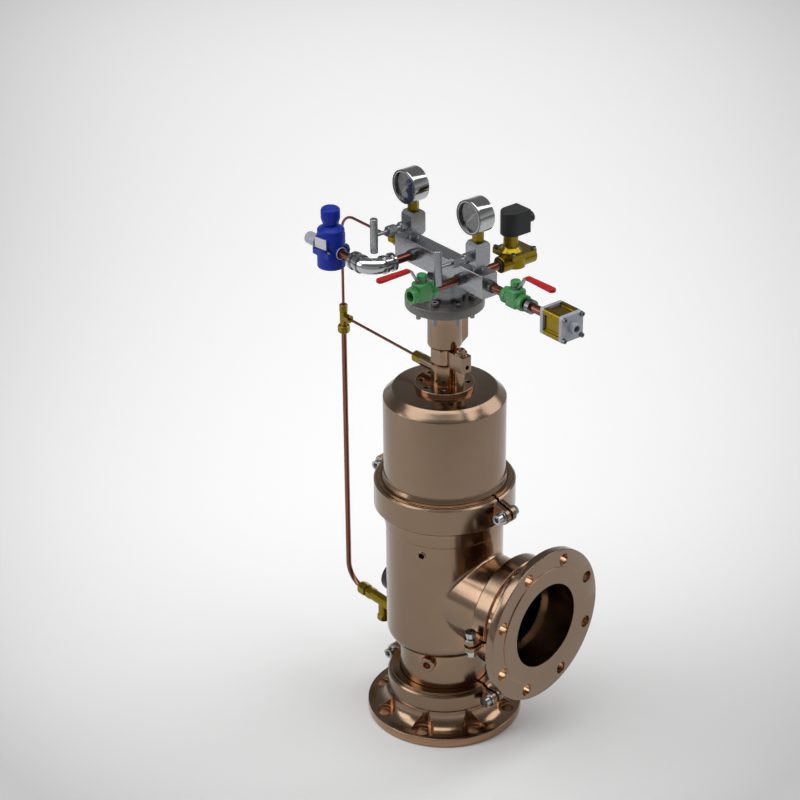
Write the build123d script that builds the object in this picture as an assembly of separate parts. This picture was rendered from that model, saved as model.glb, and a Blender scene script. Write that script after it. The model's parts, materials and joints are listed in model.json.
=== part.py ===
from build123d import *
import os

os.makedirs("parts", exist_ok=True)

# Angle pattern deluge valve with its pilot trim.
# Origin: centre of the inlet flange's gasket face. +Z runs up the valve's axis, +X out of the outlet.
# All sizes are in millimetres.

# Fits and gaps
running_clearance = 0.05   # radial, a shaft in its hole or a piston in its cylinder
joint_gap = 0.3            # between curved faces that pass or seat on each other
seal_step = 0.1            # between a rubber face and what it closes on

# Pipe flanges, both ends alike
flange_r = 139.7
flange_rim = 16.0
raised_face_r = 107.95
raised_face_height = 1.5
bolt_circle_r = 120.65
bolt_hole_r = 11.1
bolt_hole_count = 8
flange_bore_r = 77.0
hub_r = 101.0
hub_top = 49.7
hub_flare = 28.0
nut_pocket_r = 21.0

# Waterway necks and their clamped joints
neck_r = 80.0
neck_bore_r = 71.0
neck_ferrule_r = 92.0
neck_joint_height = 68.0   # from a flange's face to its clamped joint
bore_step_height = 56.0
outlet_reach = 235.0
outlet_height = 272.2

# Body
body_r = 103.5
body_collar_r = 105.5
body_collar_height = 61.9    # from the collar's foot to the top joint
body_shoulder_top = 183.0
body_shoulder_round = 28.0
chamber_r = 95.0
chamber_floor = 172.0
chamber_round = 13.0
branch_fillet = 8.0
top_joint_height = 456.5
top_ferrule_r = 114.2
liner_counterbore_r = 101.0
liner_counterbore_depth = 6.0

# Side ports of the body
supply_port_height = 134.0
drain_port_height = 141.0
drain_port_r = 7.0
low_port_boss_r = 14.0
low_port_reach = 93.0
drain_port_angle = -68.0
high_port_drop = 82.0        # below the top joint
high_port_angle = -70.5
high_port_boss_r = 8.0
high_port_reach = 105.0
port_thread_r = 5.5
port_depth = 16.0
side_port_height = 206.0
side_port_boss_r = 20.0
side_port_reach = 124.0
side_cap_r = 28.0
side_cap_length = 26.0

# Clamps: ring outside radius, half height, half height of the groove's flat, bolt circle and bolt
small_clamp_r = 102.75
small_clamp_half = 18.0
small_groove_flat = 5.5
small_groove_half = 11.0
small_bolt_reach = 117.5
small_lug_r = 12.5
large_clamp_r = 124.0
large_clamp_half = 27.5
large_groove_flat = 8.0
large_groove_half = 15.0
large_bolt_reach = 142.0
large_lug_r = 14.0
clamp_gap = 6.0
rim_step = 6.0
rim_bevel = 3.0
rim_width = 7.0
lug_thickness = 8.0
clamp_bolt_r = 6.0
clamp_bolt_head_r = 9.0
clamp_bolt_head_height = 12.0
clamp_washer_r = 12.0
clamp_washer_thickness = 2.5
clamp_nut_flats = 18.0
clamp_nut_height = 9.6
outlet_clamp_turn = -5.0

# Joint seals: flat rings half sunk in each face
seal_width = 6.0
seal_thickness = 3.6

# Seat, disc and piston
seat_r = 80.0
seat_bore_r = 66.0
seat_height = 12.0
seat_recess = 8.0
disc_r = 76.0
disc_thickness = 14.0
disc_seal_thickness = 4.0
disc_seal_width = 9.0
wing_thickness = 7.0
wing_length = 46.0
stem_r = 14.0
piston_r = 90.0
piston_drop = 72.5           # from the top joint down to the piston's foot
piston_height = 46.0
piston_floor = 14.0
piston_wall = 12.0
piston_seal_height = 6.0
piston_seal_depth = 5.0
stem_thread_r = 10.0
stem_thread_length = 18.0
stem_nut_flats = 30.0
stem_nut_height = 13.0
liner_below = 74.5           # below the top joint
liner_above = 43.5
spring_r = 52.0
spring_wire_r = 4.5
spring_turns = 6

# Bonnet
bonnet_r = 106.3
bonnet_height = 199.1        # above the top joint
bonnet_bevel_height = 16.6
bonnet_top_r = 90.1
bonnet_bore_r = 97.5
bonnet_roof = 24.0
bonnet_foot_flare = 4.0
pilot_passage_r = 6.0

# Pilot stack on the bonnet, turned with the trim
trim_angle = -8.1
plate_r = 51.5
plate_thickness = 10.4
plate_screw_circle_r = 40.0
plate_screw_count = 8
plate_screw_r = 3.0
plate_screw_head_r = 5.0
lower_column_r = 24.0
lower_column_height = 38.0
column_lip_r = 25.6
column_lip_height = 3.0
branch_boss_r = 10.5
branch_boss_reach = 58.0
branch_rise = 18.0           # above the plate
pillar_r = 9.3
pillar_offset = 39.0
hex_column_flats = 42.0
hex_column_height = 30.0
column_r = 29.7
column_height = 78.0
relay_reach = 59.0
relay_half_width = 10.5
relay_height = 29.0
relay_port_rise = 10.0
relay_port_r = 4.0
relay_cap_offset = 42.0
relay_cap_r = 11.0
relay_cap_height = 10.0
rear_boss_reach = 42.0
rear_boss_half_width = 15.0
rear_boss_rise = 12.0
rear_boss_height = 44.0
rear_port_rise = 14.0

# Top flange and manifold
top_flange_r = 67.5
top_flange_thickness = 16.0
top_bolt_circle_r = 49.0
top_bolt_count = 8
top_bolt_r = 4.0
top_bolt_head_r = 6.5
top_bolt_length = 34.0
manifold_hub_r = 38.0
manifold_hub_top_r = 30.0
manifold_hub_height = 37.0
manifold_hub_foot = 10.0
manifold_hub_waist = 24.0
manifold_height = 42.0
manifold_centre = 1.0
manifold_half_length = 113.0
manifold_half_width = 16.0
port_rise = 21.0             # from the bar's underside to its ports
line_bore_r = 5.0
branch_bore_r = 4.0
gauge_station = 83.0
front_station = 62.0

# Copper pipe and its sockets
pipe_r = 7.5
pipe_wall = 1.1
socket_depth = 8.0
bushing_r = 10.0
bushing_length = 9.0

# Gauge valves
gauge_block_length = 26.0
gauge_block_width = 31.0
gauge_neck_height = 6.0
gauge_block_height = 43.0
gauge_block_bevel = 5.0
gauge_neck_r = 10.0
spindle_rise = 19.0          # above the block's underside
spindle_r = 3.3
inner_nut_length = 15.0
gland_neck_length = 9.0
outer_nut_length = 17.0
gland_nut_flats = 15.5
gland_neck_r = 6.5
tee_bar_reach = 84.5
tee_bar_r = 6.5
tee_bar_length = 62.0

# Gauges
gauge_r = 29.6
gauge_rise = 46.5            # from the block's top to the gauge's centre
gauge_front = 20.5
gauge_depth = 32.0
gauge_wall = 2.0
gauge_bezel = 4.0
gauge_glass_thickness = 1.5
gauge_dial_drop = 8.0
gauge_dial_thickness = 1.0
gauge_shaft_r = 1.2
pointer_length = 20.5
gauge_socket_flats = 17.0
gauge_socket_r = 6.5

# Ball valves
valve_barrel_r = 13.5
valve_waist_r = 15.0
valve_half_length = 33.0
valve_end_flats = 25.0
valve_end_length = 12.0
valve_ball_r = 11.0
valve_bore_r = 7.0
valve_boss_r = 9.0
valve_boss_top = 20.0
valve_stem_r = 4.0
lever_thickness = 2.5
lever_width = 8.0
lever_rise_end = 24.0
lever_grip_height = 45.5
lever_reach = 90.0
lever_hub_r = 8.0
lever_nut_r = 7.0
lever_nut_height = 9.0
grip_start = 27.0
grip_end = 92.5
grip_thickness = 6.5
grip_width = 14.0
grip_root_width = 10.0
drain_valve_offset = 101.0
test_valve_offset = 178.0

# Regulator and its elbow
regulator_u = -169.5
regulator_v = -108.0
regulator_drop = 32.0        # from the ports' axis to the foot
regulator_r = 24.2
regulator_split_rise = 14.0
regulator_ring_height = 14.0
regulator_bonnet_r = 23.3
regulator_shoulder_height = 9.0
regulator_neck_r = 12.0
regulator_neck_height = 7.0
regulator_flange_half = 23.5
regulator_flange_drop = 9.0
regulator_flange_thickness = 11.0
regulator_screw_offset = 19.8
regulator_screw_r = 3.0
regulator_port_r = 11.0
regulator_port_reach = 28.0
knob_r = 16.5
knob_base_r = 13.0
knob_height = 31.0
knob_rise = 0.6
knob_spindle_r = 4.0
gauge_port_reach = 34.0
gauge_port_drop = 9.0
gauge_port_depth = 10.0
gauge_port_r = 8.0
end_cap_r = 11.0
end_cap_length = 28.0
end_nipple_length = 24.0
elbow_r = 13.8
elbow_bend = 24.0
elbow_arm = 22.0
elbow_bead_r = 16.2
elbow_bead_width = 5.0

# Copper tubing of the supply line
tube_u = -281.0
thin_tube_r = 2.5
thin_tube_wall = 0.8
thick_tube_r = 4.76
thick_tube_wall = 1.2
thin_bend = 34.0
thick_bend = 38.0
thin_line_drop = 1.2         # its top run lies this far below the ports' axis
tee_r = 7.0
tee_upper = 9.5
tee_lower = 17.0
tee_side = 9.0
small_nut_flats = 13.0
small_nut_length = 14.0
side_nut_flats = 14.0
side_nut_length = 10.0
large_nut_flats = 19.0
large_nut_length = 14.0
supply_nut_flats = 22.0
supply_nut_length = 18.0
supply_ring_r = 9.0
supply_ring_length = 5.0
supply_hex_flats = 21.0
supply_hex_length = 12.0
supply_body_r = 10.5
supply_leg_u = -176.0
supply_leg_drop = 38.0
supply_leg_cap = 12.0
supply_start_u = -242.0
branch_nut_flats = 19.0
branch_nut_length = 20.0
manifold_nut_length = 15.0
manifold_nut_flats = 16.0

# Solenoid valve
solenoid_start = 65.0
solenoid_end = 138.0
solenoid_barrel_r = 14.5
solenoid_plate_half = 27.0
solenoid_plate_rise = 12.0
solenoid_plate_thickness = 9.0
solenoid_plate_v = 98.8
solenoid_screw_offset = 22.4
solenoid_dome_r = 19.5
solenoid_dome_height = 7.0
core_v = 90.0
core_r = 11.5
core_wall = 2.0
core_rise = 88.0             # from the ports' axis to the core tube's end
coil_rise = 51.0
coil_height = 42.0
coil_half = 18.0
coil_back = 118.0
conduit_r = 9.0
conduit_length = 10.0
conduit_rise = 74.0
conduit_offset = 8.0
plunger_r = 8.0
plunger_length = 34.0
plunger_stroke = 4.0

# Line filter
filter_start = 262.0
filter_cap_thickness = 7.0
filter_half = 23.0
filter_body_length = 38.0
filter_groove_half = 14.0
filter_groove_depth = 4.5
filter_corner = 4.0
filter_port_reach = 10.0
filter_port_r = 9.5
filter_bore_r = 6.0
filter_screw_offset = 18.5
trim_screw_r = 4.0
trim_screw_head = 4.0

# Values that follow from the ones above
pi_axis_x = Rot(0, 90, 0)      # turns +Z to +X
pi_axis_y = Rot(-90, 0, 0)     # turns +Z to +Y
trim_turn = Rot(0, 0, trim_angle)
flange_top = raised_face_height + flange_rim
body_collar_bottom = top_joint_height - body_collar_height
high_port_height = top_joint_height - high_port_drop
piston_bottom = top_joint_height - piston_drop
liner_bottom = top_joint_height - liner_below
liner_top = top_joint_height + liner_above
neck_seal_r = (neck_bore_r + neck_ferrule_r) / 2
top_seal_r = liner_counterbore_r + 6.5
small_lip_r = neck_r + 1.5
large_lip_r = bonnet_r + bonnet_foot_flare + 0.7
seat_bottom = chamber_floor - seat_recess
seat_top = seat_bottom + seat_height
disc_bottom = seat_top + seal_step
bonnet_top = top_joint_height + bonnet_height
bonnet_shoulder = bonnet_top - bonnet_bevel_height
bonnet_ceiling = bonnet_top - bonnet_roof
plate_top = bonnet_top + plate_thickness
branch_height = plate_top + branch_rise
lower_column_top = plate_top + lower_column_height
hex_column_top = lower_column_top + hex_column_height
relay_top = lower_column_top + relay_height
relay_port_height = lower_column_top + relay_port_rise
rear_boss_bottom = hex_column_top + rear_boss_rise
rear_boss_top = rear_boss_bottom + rear_boss_height
rear_port_height = rear_boss_bottom + rear_port_rise
top_flange_bottom = hex_column_top + column_height
top_flange_top = top_flange_bottom + top_flange_thickness
manifold_bottom = top_flange_top + manifold_hub_height
manifold_top = manifold_bottom + manifold_height
port_height = manifold_bottom + port_rise
left_gauge_u = manifold_centre - gauge_station
right_gauge_u = manifold_centre + gauge_station
left_port_u = manifold_centre - front_station
right_port_u = manifold_centre + front_station
manifold_left = manifold_centre - manifold_half_length
manifold_right = manifold_centre + manifold_half_length
gauge_block_bottom = manifold_top + gauge_neck_height
gauge_block_top = gauge_block_bottom + gauge_block_height
spindle_height = gauge_block_bottom + spindle_rise
gauge_centre_height = gauge_block_top + gauge_rise
regulator_bottom = port_height - regulator_drop
regulator_flange_bottom = port_height - regulator_flange_drop
regulator_flange_top = regulator_flange_bottom + regulator_flange_thickness
regulator_split = port_height + regulator_split_rise
regulator_ring_top = regulator_split + regulator_ring_height
regulator_shoulder = regulator_ring_top + regulator_shoulder_height
regulator_neck_top = regulator_shoulder + regulator_neck_height
solenoid_plate_bottom = port_height + solenoid_plate_rise
core_top = port_height + core_rise
coil_bottom = port_height + coil_rise
coil_top = coil_bottom + coil_height
conduit_height = port_height + conduit_rise
filter_end = filter_start + 2 * filter_cap_thickness + filter_body_length


def turned(points, radii=None):
    """Solid turned round Z from (radius, height) corners, each corner with its own round."""
    corners = [(r, 0, z) for r, z in points]
    outline = FilletPolyline(*corners, radius=radii or [0.0] * len(points), close=True)
    return revolve(make_face(outline), Axis.Z)


def disc(radius, bottom, top):
    """Plain cylinder on Z between two heights."""
    return Pos(0, 0, (bottom + top) / 2) * Cylinder(radius, top - bottom)


def tube(radius, bore, bottom, top):
    """Plain ring on Z between two heights."""
    return disc(radius, bottom, top) - disc(bore, bottom - 1, top + 1)


def hexagon(flats, bottom, top, bore=0.0):
    """Hexagon bar on Z with its corners turned off at both ends."""
    bar = extrude(Pos(0, 0, bottom) * RegularPolygon(flats / 2, 6, major_radius=False), top - bottom)
    corner_r = flats / 2 / 0.866
    bevel = corner_r - flats / 2
    bar = bar & turned(
        [(0, bottom), (flats / 2, bottom), (corner_r, bottom + bevel), (corner_r, top - bevel),
         (flats / 2, top), (0, top)]
    )
    if bore > 0:
        bar -= disc(bore, bottom - 1, top + 1)
    return bar


def ring_of(count, radius, start, piece):
    """Copies of a piece spaced evenly on a circle round Z."""
    return [Rot(0, 0, start + k * 360 / count) * Pos(radius, 0, 0) * piece for k in range(count)]


def save(name, *solids):
    """One file per sub-part; several solids in one file are separate pieces."""
    pieces = [s for shape in solids for s in shape.solids()]
    export_step(pieces[0] if len(pieces) == 1 else Compound(children=pieces), f"parts/{name}.step")


def in_trim(shape):
    return trim_turn * shape


# Flange adapter, standing on its gasket face
def adapter():
    neck_end = neck_joint_height - seal_step
    taper_start = neck_joint_height - small_groove_half
    ferrule_start = neck_joint_height - small_groove_flat
    body = turned(
        [(flange_bore_r, 0), (raised_face_r, 0), (raised_face_r, raised_face_height),
         (flange_r, raised_face_height), (flange_r, flange_top), (hub_r, flange_top),
         (hub_r, hub_top), (neck_r, hub_top), (neck_r, taper_start), (neck_ferrule_r, ferrule_start),
         (neck_ferrule_r, neck_end), (neck_bore_r, neck_end), (flange_bore_r, bore_step_height)],
        [0, 0, 0, 1.5, 1.5, hub_flare, 1.5, 0, 0, 0, 1, 0, 0],
    )
    step = 360 / bolt_hole_count
    pocket = disc(nut_pocket_r, flange_top, neck_joint_height)
    hole = disc(bolt_hole_r, -1, flange_top + 1)
    for cut in ring_of(bolt_hole_count, bolt_circle_r, step / 2, pocket + hole):
        body -= cut
    return body - seal_recess(neck_seal_r, neck_joint_height)


def seal_recess(mid_r, joint_height):
    """Groove for half of a joint seal, cut in each face of a joint."""
    half = seal_thickness / 2 + seal_step
    return tube(mid_r + seal_width / 2 + seal_step, mid_r - seal_width / 2 - seal_step,
                joint_height - half, joint_height + half)


def joint_seal(mid_r, joint_height):
    return tube(mid_r + seal_width / 2, mid_r - seal_width / 2,
                joint_height - seal_thickness / 2, joint_height + seal_thickness / 2)


to_outlet = Pos(outlet_reach, 0, outlet_height) * Rot(0, -90, 0)


# Two-part clamp about a joint at height 0, with the bolts along Y at both ends of X
def clamp_halves(outer, half, groove_flat, groove_half, ferrule, lip, bolt_reach, lug):
    flat = groove_flat + joint_gap
    taper = groove_half + joint_gap
    ring = turned(
        [(lip, -half), (outer - 3, -half), (outer, 3 - half), (outer, half - rim_step),
         (outer - rim_bevel, half - rim_step + rim_bevel), (outer - rim_width, half - rim_step + rim_bevel),
         (outer - rim_width, half), (lip, half), (lip, taper),
         (ferrule + joint_gap, flat), (ferrule + joint_gap, -flat), (lip, -taper)]
    )
    halves = []
    for side in (1, -1):
        near = clamp_gap / 2
        keep = Pos(0, side * (outer + near), 0) * Box(4 * outer, 2 * outer, 4 * half)
        piece = ring & keep
        for end in (1, -1):
            root = Pos(end * (outer - 3), 0) * Rectangle(6, 2 * half - 14)
            eye = Pos(end * bolt_reach, 0) * Circle(lug)
            ear = Rot(90, 0, 0) * extrude(make_hull(root.edges() + eye.edges()), lug_thickness)
            hole = Pos(end * bolt_reach, 0, 0) * pi_axis_y * disc(clamp_bolt_r + joint_gap, -outer, outer)
            piece = piece + Pos(0, near + lug_thickness if side > 0 else -near, 0) * ear - hole
        halves.append(piece)
    return halves


# Clamp bolts with their washers: socket head on the -Y side, nut on the +Y side
def clamp_bolt():
    grip = clamp_gap / 2 + lug_thickness
    seat = grip + clamp_washer_thickness
    head_end = -seat - clamp_bolt_head_height
    head = disc(clamp_bolt_head_r, head_end, -seat)
    socket = hexagon(1.6 * clamp_bolt_r, head_end - 1, head_end + clamp_bolt_head_height / 2)
    shank = disc(clamp_bolt_r, -seat, seat + 1.2 * clamp_nut_height)
    nut = hexagon(clamp_nut_flats, seat, seat + clamp_nut_height)
    washers = disc(clamp_washer_r, grip, seat) + disc(clamp_washer_r, -seat, -grip)
    return pi_axis_y * (head - socket + shank + nut + washers)


def clamp_bolts(bolt_reach):
    return [Pos(end * bolt_reach, 0, 0) * clamp_bolt() for end in (1, -1)]


small_clamp = clamp_halves(small_clamp_r, small_clamp_half, small_groove_flat, small_groove_half,
                           neck_ferrule_r, small_lip_r, small_bolt_reach, small_lug_r)
large_clamp = clamp_halves(large_clamp_r, large_clamp_half, large_groove_flat, large_groove_half,
                           top_ferrule_r, large_lip_r, large_bolt_reach, large_lug_r)
to_lower_joint = Pos(0, 0, neck_joint_height)
to_top_joint = Pos(0, 0, top_joint_height)
to_outlet_joint = to_outlet * to_lower_joint * Rot(0, 0, 90 + outlet_clamp_turn)

save("inlet_flange", adapter())
save("outlet_flange", to_outlet * adapter())
save("lower_clamp", *[to_lower_joint * piece for piece in small_clamp])
save("outlet_clamp", *[to_outlet_joint * piece for piece in small_clamp])
save("upper_clamp", *[to_top_joint * piece for piece in large_clamp])
save(
    "clamp_bolts",
    *[place * piece for place in (to_lower_joint, to_outlet_joint)
      for piece in clamp_bolts(small_bolt_reach)],
    *[to_top_joint * piece for piece in clamp_bolts(large_bolt_reach)],
)
save("joint_seals", joint_seal(neck_seal_r, neck_joint_height),
     to_outlet * joint_seal(neck_seal_r, neck_joint_height), joint_seal(top_seal_r, top_joint_height))


# Ferrule end of a waterway neck, pointing down to its joint
def neck_end(top):
    start = neck_joint_height + seal_step
    return turned(
        [(0, start), (neck_ferrule_r, start), (neck_ferrule_r, neck_joint_height + small_groove_flat),
         (neck_r, neck_joint_height + small_groove_half), (neck_r, top), (0, top)],
        [0, 1, 0, 0, 0, 0],
    )


# Boss standing out of the body at an angle, with its threaded port
def side_boss(height, angle, radius, reach):
    return Rot(0, 0, angle) * Pos(0, 0, height) * pi_axis_x * turned(
        [(0, neck_r - 5), (radius, neck_r - 5), (radius, reach), (0, reach)], [0, 0, 1.5, 0])


def side_port(height, angle, radius, reach, depth):
    return Rot(0, 0, angle) * Pos(0, 0, height) * pi_axis_x * disc(radius, reach - depth, reach + 1)


def make_body():
    joint_face = top_joint_height - seal_step
    counterbore_floor = top_joint_height - liner_counterbore_depth
    collar_round = 2.5
    shell = turned(
        [(0, body_shoulder_top - body_shoulder_round), (body_r, body_shoulder_top - body_shoulder_round),
         (body_r, body_collar_bottom - 2), (body_collar_r, body_collar_bottom),
         (body_collar_r, top_joint_height - large_groove_half),
         (top_ferrule_r, top_joint_height - large_groove_flat), (top_ferrule_r, joint_face), (0, joint_face)],
        [0, body_shoulder_round, 0, 0, collar_round, 0, 1, 0],
    )
    shell += neck_end(body_shoulder_top)
    branch = to_outlet * neck_end(outlet_reach)
    seam = [e for e in (shell + branch).edges() if e.geom_type != GeomType.CIRCLE and e.length > body_r]
    shell = fillet(seam, branch_fillet) if seam else shell + branch
    shell += side_boss(drain_port_height, drain_port_angle, low_port_boss_r, low_port_reach)
    shell += side_boss(supply_port_height, 180 + trim_angle, low_port_boss_r, low_port_reach)
    shell += side_boss(high_port_height, high_port_angle, high_port_boss_r, high_port_reach)
    shell += side_boss(side_port_height, 180 + trim_angle, side_port_boss_r, side_port_reach)
    shell -= turned(
        [(0, neck_joint_height - 1), (neck_bore_r, neck_joint_height - 1), (neck_bore_r, seat_bottom),
         (seat_r, seat_bottom), (seat_r, chamber_floor), (chamber_r, chamber_floor),
         (chamber_r, counterbore_floor), (liner_counterbore_r, counterbore_floor),
         (liner_counterbore_r, top_joint_height + 1), (0, top_joint_height + 1)],
        [0, 0, 0, 0, 0, chamber_round, 0, 0, 0, 0],
    )
    shell -= to_outlet * disc(neck_bore_r, neck_joint_height - 1, outlet_reach)
    shell -= side_port(drain_port_height, drain_port_angle, drain_port_r, low_port_reach, port_depth)
    shell -= side_port(supply_port_height, 180 + trim_angle, port_thread_r, low_port_reach, 2 * port_depth)
    shell -= side_port(high_port_height, high_port_angle, port_thread_r, high_port_reach, port_depth)
    shell -= seal_recess(top_seal_r, top_joint_height)
    shell -= seal_recess(neck_seal_r, neck_joint_height)
    return shell - to_outlet * seal_recess(neck_seal_r, neck_joint_height)


save("body", make_body())

side_cap = pi_axis_x * turned(
    [(0, side_port_reach), (side_cap_r - 4, side_port_reach), (side_cap_r, side_port_reach + 4),
     (side_cap_r, side_port_reach + side_cap_length), (0, side_port_reach + side_cap_length)],
    [0, 0, 1, 4, 0],
)
save("side_port_cap", Rot(0, 0, 180 + trim_angle) * Pos(0, 0, side_port_height) * side_cap)

# Seat ring in the floor of the chamber
save("seat_ring", turned(
    [(seat_bore_r, seat_bottom), (seat_r - running_clearance, seat_bottom),
     (seat_r - running_clearance, chamber_floor), (disc_r, seat_top), (seat_bore_r, seat_top)],
    [0, 0, 0, 1, 1],
))

# Disc with four guide wings that run in the seat's bore
disc_top = disc_bottom + disc_thickness
wing_r = seat_bore_r - running_clearance
disc_seal_r = (seat_bore_r + disc_r) / 2 - 1
valve_disc = turned(
    [(0, disc_bottom), (disc_r, disc_bottom), (disc_r, disc_top - 4), (disc_r - 8, disc_top), (0, disc_top)],
    [0, 1, 2, 2, 0],
)
wings = Box(2 * wing_r, wing_thickness, wing_length) + Box(wing_thickness, 2 * wing_r, wing_length)
wings = wings & Cylinder(wing_r, wing_length)
valve_disc += Pos(0, 0, disc_bottom - wing_length / 2) * wings
seal_half = disc_seal_width / 2
seal_groove = tube(disc_seal_r + seal_half + seal_step, disc_seal_r - seal_half - seal_step,
                   disc_bottom - 1, disc_bottom + disc_seal_thickness + seal_step)
save("valve_disc", valve_disc - seal_groove)
disc_seal = tube(disc_seal_r + seal_half, disc_seal_r - seal_half, disc_bottom,
                 disc_bottom + disc_seal_thickness)

# Piston: an open cup with a seal ring in a groove near its foot
piston_top = piston_bottom + piston_height
piston_run_r = piston_r - running_clearance
seal_bottom = piston_bottom + piston_floor + 4
piston = turned(
    [(0, piston_bottom), (piston_run_r, piston_bottom), (piston_run_r, piston_top),
     (piston_run_r - piston_wall, piston_top), (piston_run_r - piston_wall, piston_bottom + piston_floor),
     (0, piston_bottom + piston_floor)],
    [0, 2, 1, 1, 8, 0],
)
piston -= tube(piston_r + 1, piston_r - piston_seal_depth - seal_step,
               seal_bottom - seal_step, seal_bottom + piston_seal_height + seal_step)
piston -= disc(stem_thread_r + seal_step, piston_bottom - 1, piston_bottom + piston_floor + 1)
save("piston", piston)
piston_seal = tube(piston_run_r, piston_r - piston_seal_depth, seal_bottom, seal_bottom + piston_seal_height)
save("piston_seals", piston_seal, disc_seal)

# Stem from the disc to the piston, held by a nut inside the cup
nut_bottom = piston_bottom + piston_floor
stem = disc(stem_r, disc_top, piston_bottom)
stem += disc(stem_thread_r, piston_bottom, nut_bottom + stem_thread_length)
stem += hexagon(stem_nut_flats, nut_bottom, nut_bottom + stem_nut_height)
save("piston_stem", stem)

liner_collar_bottom = top_joint_height - liner_counterbore_depth
liner_r = chamber_r - joint_gap
liner = tube(liner_r, piston_r, liner_bottom, liner_top)
liner += tube(liner_counterbore_r - joint_gap, piston_r, liner_collar_bottom + seal_step,
              top_joint_height - seal_step)
save("cylinder_liner", liner)

# Return spring between the cup's floor and the bonnet's ceiling
spring_bottom = piston_bottom + piston_floor
spring_height = bonnet_ceiling - spring_bottom - 2 * spring_wire_r - 1
spring_path = Helix(spring_height / spring_turns, spring_height, spring_r)
spring_section = Plane(origin=spring_path @ 0, z_dir=spring_path % 0) * RegularPolygon(spring_wire_r, 8)
save("return_spring", Pos(0, 0, spring_bottom + spring_wire_r + 0.5) * sweep(spring_section, spring_path))


# Bonnet: deep drawn cup with a bevelled shoulder
def make_bonnet():
    joint_face = top_joint_height + seal_step
    foot_r = bonnet_r + bonnet_foot_flare
    shell = turned(
        [(0, joint_face), (top_ferrule_r, joint_face), (top_ferrule_r, top_joint_height + large_groove_flat),
         (foot_r, top_joint_height + large_groove_half), (foot_r, top_joint_height + large_clamp_half + 1),
         (bonnet_r, top_joint_height + large_clamp_half + 9), (bonnet_r, bonnet_shoulder),
         (bonnet_top_r, bonnet_top), (0, bonnet_top)],
        [0, 1, 0, 0, 4, 10, 1, 1, 0],
    )
    shell -= turned(
        [(0, joint_face - 1), (bonnet_bore_r, joint_face - 1), (bonnet_bore_r, bonnet_ceiling),
         (0, bonnet_ceiling)],
        [0, 0, 20, 0],
    )
    shell -= disc(pilot_passage_r, bonnet_ceiling - 1, bonnet_top + 1)
    return shell - seal_recess(top_seal_r, top_joint_height)


save("bonnet", make_bonnet())

# Pilot base: bolted plate, lower column, tube boss and the pillar under the relay block
counterbore = disc(plate_screw_head_r + joint_gap, plate_top - 6, plate_top + 1)
screw_hole = disc(plate_screw_r + joint_gap, bonnet_top - 1, plate_top)
pilot_base = turned(
    [(0, bonnet_top), (plate_r, bonnet_top), (plate_r, plate_top), (0, plate_top)], [0, 0, 1.5, 0])
for cut in ring_of(plate_screw_count, plate_screw_circle_r, 0, counterbore + screw_hole):
    pilot_base -= cut
lip_foot = lower_column_top - column_lip_height
pilot_base += turned(
    [(0, plate_top - 1), (lower_column_r, plate_top - 1), (lower_column_r, lip_foot),
     (column_lip_r, lip_foot), (column_lip_r, lower_column_top), (0, lower_column_top)],
    [0, 0, 0, 0, 1, 0],
)
to_branch = Pos(0, 0, branch_height) * Rot(0, -90, 0)
pilot_base += to_branch * disc(branch_boss_r, 0, branch_boss_reach)
pilot_base -= disc(pilot_passage_r, bonnet_top - 1, lower_column_top - 8)
pilot_base -= to_branch * disc(thin_tube_r + joint_gap, 0, branch_boss_reach + 1)
save("pilot_base", in_trim(pilot_base))
plate_screw = disc(plate_screw_head_r, plate_top - 6, plate_top - 1.5)
plate_screw += disc(plate_screw_r, bonnet_top, plate_top - 6)
plate_screw -= hexagon(5, plate_top - 4, plate_top)
plate_screws = ring_of(plate_screw_count, plate_screw_circle_r, 0, plate_screw)
save("pilot_base_screws", *[in_trim(piece) for piece in plate_screws[1:]])


def along_u(u, v, z, length_from, length_to, radius, bore=0.0):
    """Round bar or ring lying along the trim's u direction from one station to another."""
    bar = disc(radius, length_from, length_to)
    if bore > 0:
        bar -= disc(bore, length_from - 1, length_to + 1)
    return Pos(u, v, z) * pi_axis_x * bar


def along_v(u, v, z, length_from, length_to, radius, bore=0.0):
    """The same along the trim's v direction."""
    bar = disc(radius, length_from, length_to)
    if bore > 0:
        bar -= disc(bore, length_from - 1, length_to + 1)
    return Pos(u, v, z) * pi_axis_y * bar


def block(u_from, u_to, v_from, v_to, z_from, z_to):
    """Square block between three pairs of stations."""
    return Pos((u_from + u_to) / 2, (v_from + v_to) / 2, (z_from + z_to) / 2) * Box(
        u_to - u_from, v_to - v_from, z_to - z_from)


# Relay block on its pillar, beside the union, with a port in its end and a cap on top
union_turn = Rot(0, 0, 3)
relay = block(lower_column_r - 3, relay_reach, -relay_half_width, relay_half_width,
              lower_column_top, relay_top)
relay = fillet(relay.edges().filter_by(Axis.Z).group_by(Axis.X)[-1], 4)
relay -= union_turn * hexagon(hex_column_flats + 2 * joint_gap, lower_column_top - 1, relay_top + 1)
relay += Pos(pillar_offset, 0, 0) * disc(pillar_r, plate_top, lower_column_top)
relay -= along_u(0, 0, relay_port_height, relay_reach - port_depth, relay_reach + 1, relay_port_r)
relay_cap_step = relay_top + relay_cap_height / 2
relay_cap = turned(
    [(0, relay_top), (relay_cap_r, relay_top), (relay_cap_r, relay_cap_step),
     (relay_cap_r - 3, relay_cap_step), (relay_cap_r - 3, relay_top + relay_cap_height),
     (0, relay_top + relay_cap_height)],
    [0, 0, 1, 0, 3, 0])
save("relay_block", in_trim(relay), in_trim(Pos(relay_cap_offset, 0, 0) * relay_cap))

union_nut = union_turn * hexagon(hex_column_flats, lower_column_top, hex_column_top, pilot_passage_r)
save("union_nut", in_trim(union_nut))

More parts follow.
